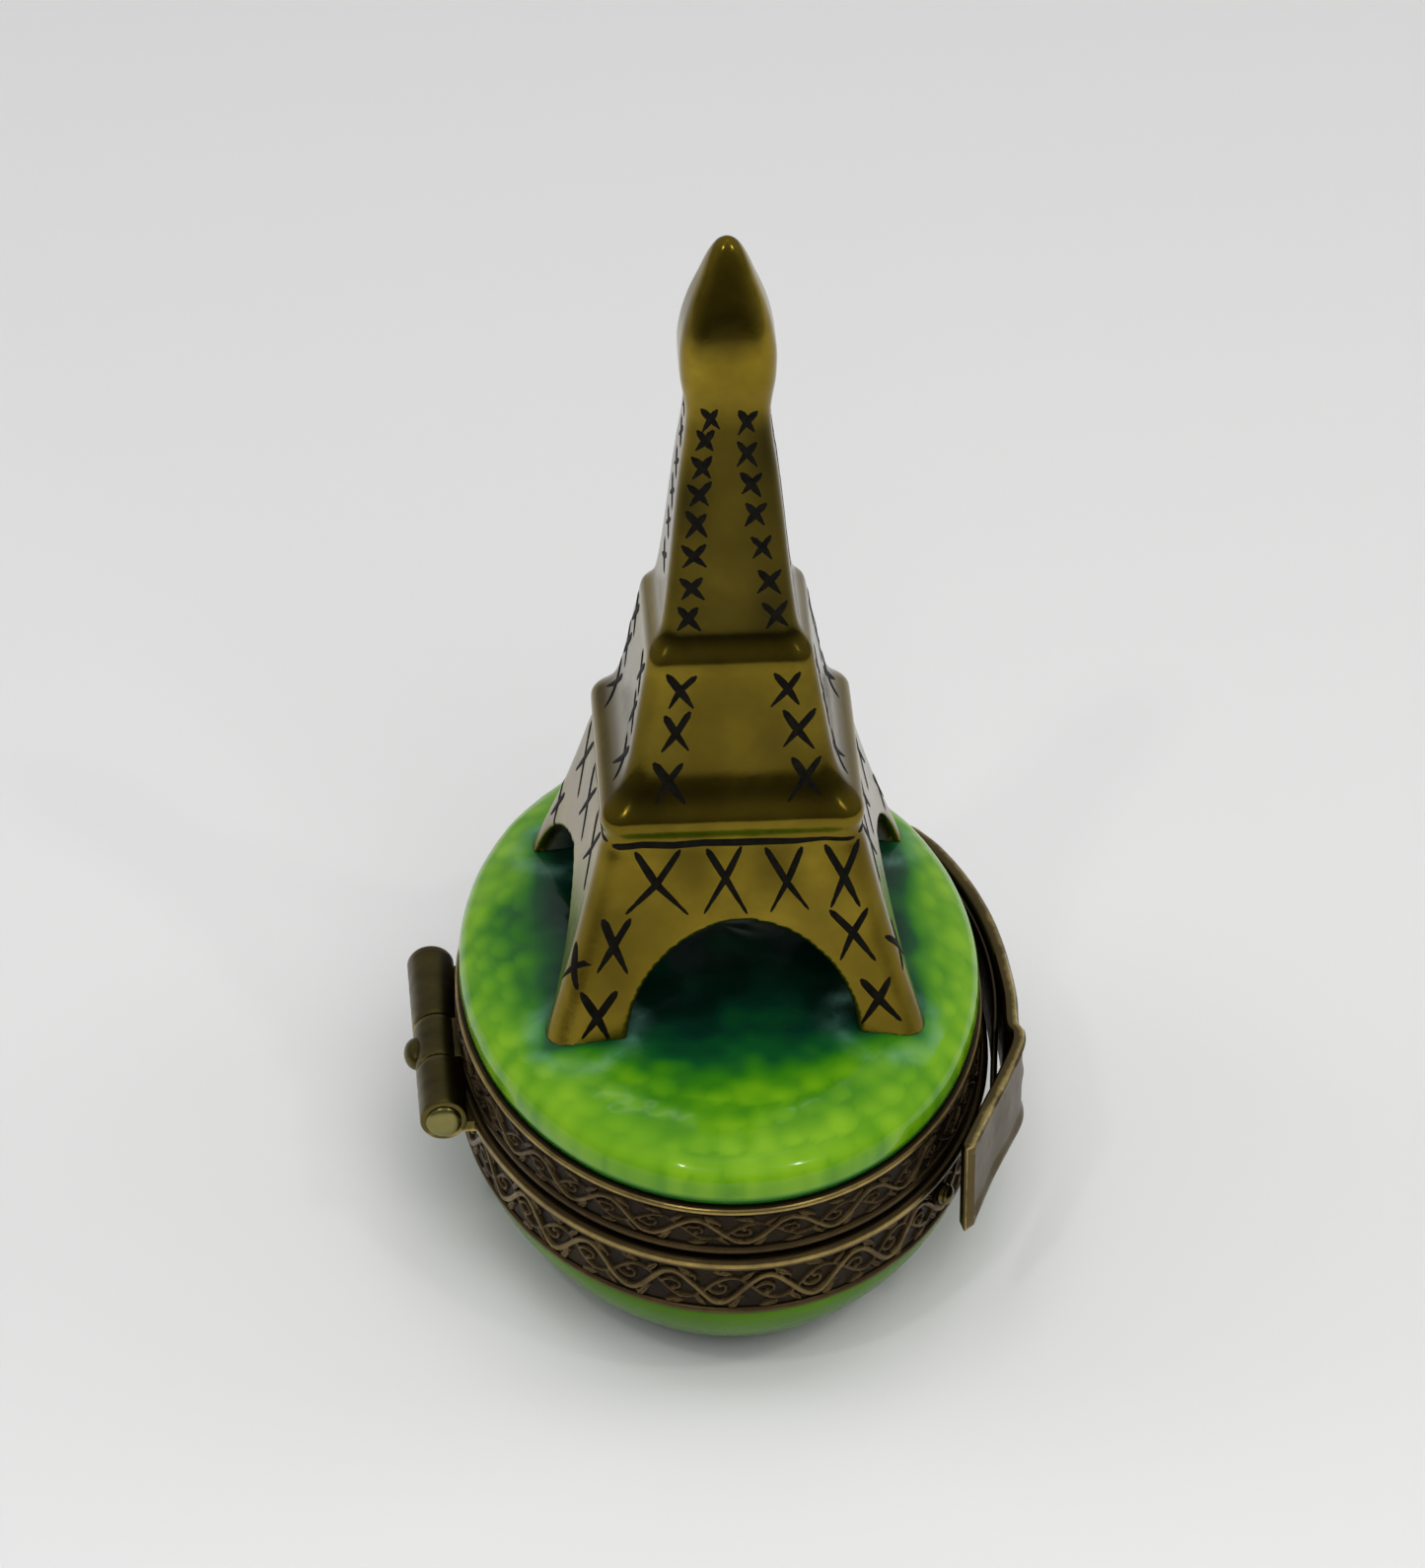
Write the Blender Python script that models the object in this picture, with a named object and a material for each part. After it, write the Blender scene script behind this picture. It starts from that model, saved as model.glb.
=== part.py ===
"""Hinged porcelain trinket box with a gilded tower standing on its lid.

Frame: metres, +Z up.  The origin is the middle of the flat foot.  The box is an
oval whose long axis is Y.  The hinge is on the -X side, the clasp on the +X side.
Lengths below are millimetres and are turned into metres by MM.
"""
import math

import bmesh
import bpy
from mathutils import Matrix, Vector

MM = 0.001

# ---------------------------------------------------------------- dimensions
N = 48                    # facets round the oval
DB = 7.3                  # long semi-axis minus short semi-axis, everywhere

FOOT_A = 9.5              # short semi-axis of the flat foot
BOWL_A = 19.2             # short semi-axis of the bowl under its collar
BOWL_TOP = 8.2            # where the bowl turns in to its neck
NECK_A = 18.15            # porcelain necks inside the collars
NECK_IN = 16.4            # inner wall of both porcelain pieces
BOWL_RIM = 12.95
FLOOR = 2.1

LOW_Z0, LOW_Z1 = 8.3, 13.6        # lower collar
UP_Z0, UP_Z1 = 13.9, 18.0         # upper collar
LEAF_LOW_A, LEAF_UP_A = 20.05, 19.55   # what a hinge leaf stops short of on each collar

DOME_WIDE_Z = 19.3
DOME_H = 4.1
DOME_P = 3.0              # exponent of the dome's cushion shape

HINGE_X, HINGE_Z = -20.95, 13.75
KNUCKLE_R, BORE_R, PIN_R = 1.75, 1.20, 1.10
KNUCKLE_Y = (-9.5, -3.7, 1.2, 9.5)    # front | middle | rear
NOTCH_R = 1.83

TOWER_X, TOWER_Y = 0.55, -0.3
TOWER_YAW = -1.3          # degrees, hand-set on the lid
TOWER_FOOT = 22.3

ARM_IN, ARM_OUT = 20.2, 20.7      # spring strip of the clasp
ARM_Z0, ARM_Z1 = 14.5, 17.3
ARM_T0, ARM_T1 = 50.0, -14.0      # degrees round the oval
RIBBON_OUT, RIBBON_T = 21.85, 1.1 # ornamental ribbon outside the strip
RIBBON_Z0, RIBBON_Z1 = 10.0, 17.7

# ---------------------------------------------------------------- helpers
for old in list(bpy.data.objects):
    bpy.data.objects.remove(old, do_unlink=True)


def material(name, colour, roughness, metallic, coat=0.0):
    m = bpy.data.materials.new(name)
    m.use_nodes = True
    b = m.node_tree.nodes["Principled BSDF"]
    b.inputs["Base Color"].default_value = (*colour, 1.0)
    b.inputs["Roughness"].default_value = roughness
    b.inputs["Metallic"].default_value = metallic
    b.inputs["Coat Weight"].default_value = coat
    m.diffuse_color = (*colour, 1.0)
    return m


GREEN = material("green_glaze", (0.16, 0.42, 0.02), 0.12, 0.0, 0.6)
GOLD = material("gold_lustre", (0.34, 0.24, 0.05), 0.22, 0.9)
BRONZE = material("antique_bronze", (0.17, 0.11, 0.06), 0.38, 1.0)
BRASS = material("worn_brass", (0.30, 0.21, 0.09), 0.33, 1.0)
PLASTER = material("plaster", (0.62, 0.59, 0.52), 0.9, 0.0)


def finish(name, bm, mat, angle=32.0):
    bmesh.ops.recalc_face_normals(bm, faces=bm.faces)
    me = bpy.data.meshes.new(name)
    bm.to_mesh(me)
    bm.free()
    me.materials.append(mat)
    me.shade_smooth()
    me.set_sharp_from_angle(angle=math.radians(angle))
    o = bpy.data.objects.new(name, me)
    bpy.context.scene.collection.objects.link(o)
    return o


def oval(a, z, b=None, n=N):
    b = a + DB if b is None else b
    return [Vector((a * math.cos(2 * math.pi * i / n) * MM,
                    b * math.sin(2 * math.pi * i / n) * MM, z * MM)) for i in range(n)]


def skin(bm, rings, caps=(True, True), closed=False):
    """Quads between successive rings of equal length; caps on the first and last."""
    vs = [[bm.verts.new(p) for p in r] for r in rings]
    pairs = list(zip(vs, vs[1:])) + ([(vs[-1], vs[0])] if closed else [])
    for r0, r1 in pairs:
        for i in range(len(r0)):
            j = (i + 1) % len(r0)
            bm.faces.new((r0[i], r0[j], r1[j], r1[i]))
    if not closed:
        if caps[0]:
            bm.faces.new(vs[0])
        if caps[1]:
            bm.faces.new(vs[-1])
    return vs


def hoop(name, profile, mat, angle=32.0):
    """A closed (a, z) profile carried round the oval."""
    bm = bmesh.new()
    skin(bm, [oval(a, z) for a, z in profile], closed=True)
    return finish(name, bm, mat, angle)


def boolean(target, cutter, kind="DIFFERENCE"):
    m = target.modifiers.new(kind.lower() + "_" + cutter.name, "BOOLEAN")
    m.operation = kind
    m.object = cutter
    m.solver = "EXACT"
    cutter.hide_render = True
    cutter.display_type = "WIRE"
    return m


def cylinder(bm, r, p0, p1, seg=24, turn=0.0):
    """A solid round bar from p0 to p1 (millimetres)."""
    p0, p1 = Vector(p0) * MM, Vector(p1) * MM
    d = (p1 - p0).normalized()
    u = d.orthogonal().normalized()
    if abs(d.y) > 0.99:
        u = Vector((1, 0, 0))
    w = d.cross(u)
    ring = [(u * math.cos(turn + 2 * math.pi * i / seg) + w * math.sin(turn + 2 * math.pi * i / seg)) * r * MM
            for i in range(seg)]
    skin(bm, [[p0 + q for q in ring], [p1 + q for q in ring]])


def block(bm, x0, x1, y0, y1, z0, z1):
    skin(bm, [[Vector((x, y, z)) * MM for x, y in ((x0, y0), (x1, y0), (x1, y1), (x0, y1))] for z in (z0, z1)])


# ---------------------------------------------------------------- porcelain bowl
STEPS = 6
bm = bmesh.new()
rings = [oval(FOOT_A + (BOWL_A - FOOT_A) * math.sin(math.pi / 2 * i / STEPS) ** (4 / 3),
              BOWL_TOP * (1 - math.cos(math.pi / 2 * i / STEPS) ** (4 / 3))) for i in range(STEPS)]
rings.append(oval(BOWL_A, BOWL_TOP))
rings += [oval(NECK_A, BOWL_TOP), oval(NECK_A, BOWL_RIM), oval(NECK_IN, BOWL_RIM), oval(NECK_IN, BOWL_TOP)]
rings += [oval(9.4 + (NECK_IN - 9.4) * math.cos(math.pi / 2 * i / 5),
               BOWL_TOP - (BOWL_TOP - FLOOR) * math.sin(math.pi / 2 * i / 5)) for i in range(1, 6)]
skin(bm, rings)
bowl = finish("base_bowl", bm, GREEN)

# ---------------------------------------------------------------- lower mount
hoop("base_bond_ring", [(18.2, 8.6), (18.55, 8.6), (18.55, 12.85), (18.2, 12.85)], PLASTER)
low_collar = hoop("lower_collar", [(18.6, LOW_Z0), (19.3, LOW_Z0), (19.45, 8.5), (19.4, 8.8), (19.1, 8.85), (19.1, 12.5),
                                   (19.7, 12.6), (20.0, 12.95), (20.0, 13.3), (19.75, LOW_Z1),
                                   (16.95, LOW_Z1), (16.95, 13.1), (18.6, 13.1)], BRONZE)
low_gallery = hoop("lower_gallery", [(19.15, 8.9), (19.5, 8.9), (19.5, 12.45), (19.15, 12.45)], BRONZE)
hoop("closing_lip", [(16.95, 13.65), (17.35, 13.65), (17.35, 14.7), (16.95, 14.7)], BRASS)

# ---------------------------------------------------------------- lid porcelain


def dome_ring(rho, lift=0.0, a=BOWL_A, h=DOME_H, z=DOME_WIDE_Z):
    return oval(a * rho, z + lift + h * (1 - rho ** DOME_P) ** (1 / DOME_P), (a + DB) * rho)


RHO = (1.0, 0.985, 0.94, 0.87, 0.77, 0.62, 0.42, 0.18)
bm = bmesh.new()
rings = [oval(NECK_IN * r, 17.6 + 3.6 * (1 - r ** DOME_P) ** (1 / DOME_P), (NECK_IN + DB) * r)
         for r in (0.2, 0.5, 0.75, 0.9, 0.975, 1.0)]
rings += [oval(NECK_IN, 14.8), oval(NECK_A, 14.8), oval(NECK_A, 18.1), oval(18.95, 18.1), oval(19.12, 18.6)]
rings += [dome_ring(r) for r in RHO]
skin(bm, rings)
finish("lid_dome", bm, GREEN)

# ---------------------------------------------------------------- upper mount
hoop("lid_bond_ring", [(18.2, 14.85), (18.55, 14.85), (18.55, 17.9), (18.2, 17.9)], PLASTER)
up_collar = hoop("upper_collar", [(17.65, UP_Z0), (19.3, UP_Z0), (19.5, 14.1), (19.5, 14.35), (19.1, 14.55), (19.1, 17.3),
                                  (19.35, 17.4), (19.5, 17.65), (19.35, 17.9), (19.1, UP_Z1),
                                  (18.6, UP_Z1), (18.6, 14.75), (18.45, 14.6), (17.65, 14.6)], BRONZE)
up_gallery = hoop("upper_gallery", [(19.15, 14.65), (19.45, 14.65), (19.45, 17.25), (19.15, 17.25)], BRONZE)

# room in both collars for the hinge barrel
bm = bmesh.new()
cylinder(bm, NOTCH_R, (HINGE_X, KNUCKLE_Y[0] - 0.5, HINGE_Z), (HINGE_X, KNUCKLE_Y[-1] + 0.5, HINGE_Z), 32)
notch = finish("cut_hinge_notch", bm, BRONZE)
for o in (low_collar, low_gallery, up_collar, up_gallery):
    boolean(o, notch)

# ---------------------------------------------------------------- hinge
# what a soldered leaf may not enter: the inside of the collar that it is soldered to
bm = bmesh.new()
skin(bm, [oval(LEAF_LOW_A, 6.0), oval(LEAF_LOW_A, 20.0)])
inside_low = finish("cut_inside_low", bm, BRONZE)
bm = bmesh.new()
skin(bm, [oval(LEAF_UP_A, 6.0), oval(LEAF_UP_A, 20.0)])
inside_up = finish("cut_inside_up", bm, BRONZE)
bm = bmesh.new()
cylinder(bm, BORE_R, (HINGE_X, KNUCKLE_Y[0] - 2, HINGE_Z), (HINGE_X, KNUCKLE_Y[-1] + 2, HINGE_Z), 24)
bore = finish("cut_hinge_bore", bm, BRASS)


def knuckle(name, y0, y1, leaf_z, inside, lug=False):
    """A rolled knuckle with the leaf that solders it to its collar."""
    bm = bmesh.new()
    block(bm, HINGE_X - 0.2, -18.2, y0 + 0.15, y1 - 0.15, *leaf_z)
    leaf = finish("add_leaf_" + name, bm, BRASS)
    boolean(leaf, inside)
    bm = bmesh.new()
    cylinder(bm, KNUCKLE_R, (HINGE_X, y0, HINGE_Z), (HINGE_X, y1, HINGE_Z), 24)
    o = finish(name, bm, BRASS)
    boolean(o, leaf, "UNION")
    if lug:
        bm = bmesh.new()
        bmesh.ops.create_icosphere(bm, subdivisions=2, radius=0.85 * MM,
                                   matrix=Matrix.Translation(Vector((HINGE_X - 1.62, (y0 + y1) / 2 - 0.2, HINGE_Z)) * MM))
        ball = finish("add_stop_lug", bm, BRASS)
        boolean(o, ball, "UNION")
    boolean(o, bore)
    return o


G = 0.06  # end play between knuckles
knuckle("hinge_knuckle_front", KNUCKLE_Y[0], KNUCKLE_Y[1] - G, (HINGE_Z - 1.1, HINGE_Z - 0.25), inside_low)
knuckle("hinge_knuckle_middle", KNUCKLE_Y[1] + G, KNUCKLE_Y[2] - G, (HINGE_Z + 0.35, HINGE_Z + 1.3), inside_up, lug=True)
knuckle("hinge_knuckle_rear", KNUCKLE_Y[2] + G, KNUCKLE_Y[3], (HINGE_Z - 1.1, HINGE_Z - 0.25), inside_low)

# pin, peened over at both ends
bm = bmesh.new()
prof = [(0.75, KNUCKLE_Y[0] - 0.42), (1.1, KNUCKLE_Y[0] - 0.34), (1.32, KNUCKLE_Y[0] - 0.2), (1.32, KNUCKLE_Y[0] - 0.08),
        (PIN_R, KNUCKLE_Y[0] - 0.05), (PIN_R, KNUCKLE_Y[-1] + 0.05), (1.32, KNUCKLE_Y[-1] + 0.08),
        (1.32, KNUCKLE_Y[-1] + 0.2), (1.1, KNUCKLE_Y[-1] + 0.34), (0.75, KNUCKLE_Y[-1] + 0.42)]
skin(bm, [[Vector((HINGE_X + r * math.cos(2 * math.pi * i / 24), y, HINGE_Z + r * math.sin(2 * math.pi * i / 24))) * MM
           for i in range(24)] for r, y in prof])
finish("hinge_pin", bm, BRASS)

# ---------------------------------------------------------------- tower
# (height, half width, half depth) of the tower's outer form
LEVELS = [(20.8, 14.3, 13.9), (22.3, 13.85, 13.4), (25.5, 12.8, 12.5), (29.0, 11.7, 11.5), (33.0, 10.6, 10.35), (36.4, 9.75, 9.45),
          (38.3, 9.3, 9.0), (38.7, 9.42, 9.1), (39.1, 9.55, 9.2), (39.7, 9.5, 9.15), (40.2, 9.15, 8.85), (40.8, 8.55, 8.35), (41.6, 8.0, 7.9), (42.6, 7.6, 7.5), (43.8, 7.3, 7.2),
          (46.5, 6.8, 6.7), (49.0, 6.35, 6.2), (50.7, 6.05, 5.9), (51.4, 5.95, 5.8), (51.8, 5.75, 5.55), (52.2, 5.4, 5.2), (52.8, 5.05, 4.85),
          (55.0, 4.65, 4.45), (58.0, 4.3, 4.05), (61.5, 3.95, 3.65), (65.5, 3.5, 3.2), (68.5, 3.1, 2.9), (70.0, 3.0, 2.8),
          (71.3, 3.15, 2.95), (73.0, 3.4, 3.3), (74.6, 3.45, 3.4), (76.3, 3.25, 3.2), (78.3, 2.75, 2.7), (80.2, 2.05, 2.0),
          (82.0, 1.35, 1.3), (83.1, 0.75, 0.72), (83.5, 0.3, 0.3)]
CORNER = 0.16             # corner rounding as a share of the half width


def at_tower(h, v, z):
    """A point from the tower's own plan axes into the frame."""
    t = math.radians(TOWER_YAW)
    return Vector((TOWER_X + h * math.cos(t) - v * math.sin(t), TOWER_Y + h * math.sin(t) + v * math.cos(t), z)) * MM


def back_shift(z):
    """The feet spread a little further back than forwards."""
    return 0.7 * min(1.0, max(0.0, (38.0 - z) / 16.0))


def square_ring(z, wx, wy):
    c = CORNER * min(wx, wy)
    pts = []
    for sx, sy, start in ((1, 1, 0), (-1, 1, 90), (-1, -1, 180), (1, -1, 270)):
        for k in (0, 45, 90):
            t = math.radians(start + k)
            pts.append(at_tower(sx * (wx - c) + c * math.cos(t), back_shift(z) + sy * (wy - c) + c * math.sin(t), z))
    return pts


bm = bmesh.new()
skin(bm, [square_ring(*lv) for lv in LEVELS])
tower = finish("tower", bm, GOLD, 40)


def arch(name, half, base, rise, axis, length, power):
    """A tunnel through the tower along axis, semi-elliptical at power 1 and more pointed above it."""
    bm = bmesh.new()
    prof = [(half, base - 4)]
    for i in range(15):
        c = math.cos(math.pi * i / 14)
        prof.append((half * math.copysign(abs(c) ** power, c) if i != 7 else 0.0, base + rise * math.sin(math.pi * i / 14)))
    prof += [(-half, base - 4)]
    ends = []
    for s in (-length, length):
        if axis == "Y":
            ends.append([at_tower(h + 0.5, s, z) for h, z in prof])
        else:
            ends.append([at_tower(s, h + 0.55, z) for h, z in prof])
    skin(bm, ends)
    return finish(name, bm, GOLD)


boolean(tower, arch("cut_front_arch", 8.4, TOWER_FOOT, 9.4, "Y", 20, 1.1))
boolean(tower, arch("cut_side_arch", 10.4, TOWER_FOOT, 8.4, "X", 20, 1.6))
# the hollow that slip casting leaves, open to the vault through a vent
bm = bmesh.new()
skin(bm, [square_ring(*lv) for lv in ((36.6, 5.2, 5.0), (41.5, 5.2, 4.8), (50.5, 3.7, 3.4), (54.0, 2.7, 2.3), (64.0, 1.4, 1.1))])
boolean(tower, finish("cut_tower_hollow", bm, GOLD))
bm = bmesh.new()
cylinder(bm, 1.8, (TOWER_X, TOWER_Y, 30.0), (TOWER_X, TOWER_Y, 38.0), 16)
boolean(tower, finish("cut_tower_vent", bm, GOLD))
# the feet follow the dome
bm = bmesh.new()
skin(bm, [oval(BOWL_A, 15.0)] + [dome_ring(r, 0.08) for r in RHO])
boolean(tower, finish("cut_dome_under_tower", bm, GOLD))

# ---------------------------------------------------------------- clasp


def on_oval(a, deg, z):
    t = math.radians(deg)
    return Vector((a * math.cos(t), (a + DB) * math.sin(t), z)) * MM


SEG = 16
bm = bmesh.new()
rows = []
for i in range(SEG + 1):
    t = ARM_T0 + (ARM_T1 - ARM_T0) * i / SEG
    low = ARM_Z0 - 3.3 * min(1.0, 1.6 * i / SEG)      # deeper towards the free end
    rows.append([on_oval(ARM_OUT, t, low), on_oval(ARM_OUT, t, ARM_Z1), on_oval(ARM_IN, t, ARM_Z1), on_oval(ARM_IN, t, low)])
skin(bm, rows)
finish("clasp_arm", bm, BRASS)

# pad soldered between the upper collar and the root of the strip
bm = bmesh.new()
skin(bm, [[on_oval(19.55, t, 14.8), on_oval(ARM_IN - 0.05, t, 14.8), on_oval(ARM_IN - 0.05, t, 17.0), on_oval(19.55, t, 17.0)]
          for t in (49.0, 47.0, 45.0, 43.0)])
finish("clasp_foot", bm, BRASS)

# ribbon: follows the strip from its tapered tail to a bend, then a straight wing stands off the box
path = []                 # outer face, inner face, lower edge
for i in range(13):
    f = i / 12
    t = 46.5 - 61.5 * f
    a_out = RIBBON_OUT + 0.75 * max(0.0, f - 0.75) / 0.25
    a_in = a_out - RIBBON_T * (0.35 + 0.65 * min(1.0, f / 0.14))
    a_in = max(a_in, ARM_OUT + 0.06)
    a_out = a_in + RIBBON_T * (0.35 + 0.65 * min(1.0, f / 0.14)) if f < 0.75 else a_out
    p, q = on_oval(a_out, t, 0) / MM, on_oval(a_in, t, 0) / MM
    path.append((p, q, RIBBON_Z0 + 3.6 * (1 - f) ** 1.2))
bend = path[-1][0]
end = Vector((16.75, -20.9, 0))
d = (end - bend).normalized()
n = Vector((-d.y, d.x, 0))
n = n if n.x > 0 else -n
for f in (0.12, 0.4, 0.7, 1.0):
    p = bend.lerp(end, f) + n * 0.5 * math.sin(math.pi * f)
    path.append((p, p - n * RIBBON_T, RIBBON_Z0))
bm = bmesh.new()
up = Vector((0, 0, 1))
skin(bm, [[(p + up * lo) * MM, (p + up * RIBBON_Z1) * MM, (q + up * RIBBON_Z1) * MM, (q + up * lo) * MM] for p, q, lo in path])
finish("clasp_ribbon", bm, BRASS)

# stud on the lower collar that the wing snaps over
t = math.radians(-40.0)
foot = Vector((19.56 * math.cos(t), (19.56 + DB) * math.sin(t), 10.9))
out = Vector((math.cos(t) / 19.5, math.sin(t) / (19.5 + DB), 0)).normalized()
side = up.cross(out)
bm = bmesh.new()
skin(bm, [[(foot + out * h + (side * math.cos(2 * math.pi * i / 16) + up * math.sin(2 * math.pi * i / 16)) * r) * MM for i in range(16)]
          for h, r in ((0.0, 0.8), (0.4, 0.8), (0.7, 0.62), (0.85, 0.3))])
finish("catch_stud", bm, BRASS)
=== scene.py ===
"""Looks for the hinged porcelain trinket box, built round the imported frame.

Lengths are millimetres in the helpers and become metres through MM.
"""
import math
import random

import bmesh
import bpy
import numpy as np
from mathutils import Matrix, Vector
from mathutils.bvhtree import BVHTree


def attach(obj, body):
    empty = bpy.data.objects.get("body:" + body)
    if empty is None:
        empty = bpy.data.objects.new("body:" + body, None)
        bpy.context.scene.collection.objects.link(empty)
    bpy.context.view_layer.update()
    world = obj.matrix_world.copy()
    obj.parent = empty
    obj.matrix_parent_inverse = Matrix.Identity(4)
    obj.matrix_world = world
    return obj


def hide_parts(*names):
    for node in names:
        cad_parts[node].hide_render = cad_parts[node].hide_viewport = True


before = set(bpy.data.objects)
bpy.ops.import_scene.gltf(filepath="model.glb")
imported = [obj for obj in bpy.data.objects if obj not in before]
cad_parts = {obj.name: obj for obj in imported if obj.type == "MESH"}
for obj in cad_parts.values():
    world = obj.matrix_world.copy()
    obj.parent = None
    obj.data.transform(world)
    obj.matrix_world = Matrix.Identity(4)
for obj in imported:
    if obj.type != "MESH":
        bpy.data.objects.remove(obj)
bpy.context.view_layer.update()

MM = 0.001
TAU = 2 * math.pi
DB = 7.3                      # long semi-axis minus short semi-axis, as in the frame
scene = bpy.context.scene

# ---------------------------------------------------------------- camera and light


def setup_camera():
    phi, el, dist = math.radians(4.65), math.radians(36.28), 0.5853
    a = -phi
    back = Vector((math.sin(a) * math.cos(el), -math.cos(a) * math.cos(el), math.sin(el)))
    right = Vector((math.cos(a), math.sin(a), 0))
    up = back.cross(right)
    target = Vector((0, 0, 0.030)) + right * -0.000427 + up * 0.004998
    cam = bpy.data.cameras.new("camera")
    cam.sensor_fit = "VERTICAL"
    cam.sensor_height = 36.0
    cam.lens = 8104.9 / 1590 * 36.0
    cam.clip_start, cam.clip_end = 0.02, 20
    ob = bpy.data.objects.new("camera", cam)
    m = Matrix((right, up, back)).transposed().to_4x4()
    m.translation = target + back * dist
    ob.matrix_world = m
    scene.collection.objects.link(ob)
    scene.camera = ob


def area(name, loc, target, size, power, colour=(1, 1, 1), size_y=None, spread=None):
    l = bpy.data.lights.new(name, "AREA")
    l.energy, l.color = power, colour
    l.shape = "RECTANGLE"
    l.size, l.size_y = size, size_y or size
    if spread:
        l.spread = math.radians(spread)
    o = bpy.data.objects.new(name, l)
    o.location = loc
    o.rotation_euler = (Vector(target) - Vector(loc)).to_track_quat("-Z", "Y").to_euler()
    scene.collection.objects.link(o)
    return o


def setup_light():
    w = bpy.data.worlds.new("studio")
    scene.world = w
    w.use_nodes = True
    bg = w.node_tree.nodes["Background"]
    # bright above and behind, dark low in front, so the glaze and the metal keep their depth
    t = w.node_tree
    tc = t.nodes.new("ShaderNodeTexCoord")
    sep = t.nodes.new("ShaderNodeSeparateXYZ")
    t.links.new(tc.outputs["Generated"], sep.inputs[0])
    mul = t.nodes.new("ShaderNodeMath")
    mul.operation = "MULTIPLY_ADD"
    mul.inputs[1].default_value = 0.62
    t.links.new(sep.outputs["Y"], mul.inputs[0])
    t.links.new(sep.outputs["Z"], mul.inputs[2])
    rng = t.nodes.new("ShaderNodeMapRange")
    rng.inputs[1].default_value, rng.inputs[2].default_value = -0.75, 0.95
    rng.inputs[3].default_value, rng.inputs[4].default_value = 0.03, 1.0
    t.links.new(mul.outputs[0], rng.inputs[0])
    ramp = t.nodes.new("ShaderNodeValToRGB")
    ramp.color_ramp.elements[0].color = (0.10, 0.105, 0.11, 1)
    ramp.color_ramp.elements[1].color = (0.955, 0.955, 0.96, 1)
    t.links.new(rng.outputs[0], ramp.inputs["Fac"])
    t.links.new(ramp.outputs["Color"], bg.inputs["Color"])
    bg.inputs["Strength"].default_value = 0.40
    c = (0, 0, 0.03)
    soft = [area("key_top", (0.02, -0.02, 0.62), c, 0.46, 1.08, (1.0, 0.995, 0.98)),
            area("fill_front", (0.05, -0.40, 0.46), c, 0.34, 1.45, (1.0, 0.99, 0.97)),
            area("side_left", (-0.55, 0.12, 0.26), c, 0.36, 0.70, (0.97, 0.99, 1.0)),
            area("side_right", (0.52, 0.05, 0.24), c, 0.30, 0.55, (1.0, 0.99, 0.97))]
    for o in soft:
        o.visible_glossy = False         # they light the piece without printing panels on the glaze
    area("lamp_left", (-0.20, -0.30, 0.50), (0, 0, 0.04), 0.030, 0.22, (1, 0.98, 0.94))
    area("lamp_right", (0.24, -0.26, 0.46), (0, 0, 0.04), 0.026, 0.18, (1, 0.98, 0.94))
    area("tube_near", (0.03, -0.07, 0.62), (0, -0.02, 0.02), 0.34, 0.022, (1, 1, 1), size_y=0.006)
    area("tube_far", (-0.02, 0.32, 0.60), (0, 0, 0.03), 0.36, 0.06, (1, 1, 1), size_y=0.02)
    scene.view_settings.view_transform = "Standard"
    scene.view_settings.look = "None"
    scene.view_settings.exposure = 0.0
    scene.cycles.use_denoising = True


setup_camera()
setup_light()

# ---------------------------------------------------------------- material helpers


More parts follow.
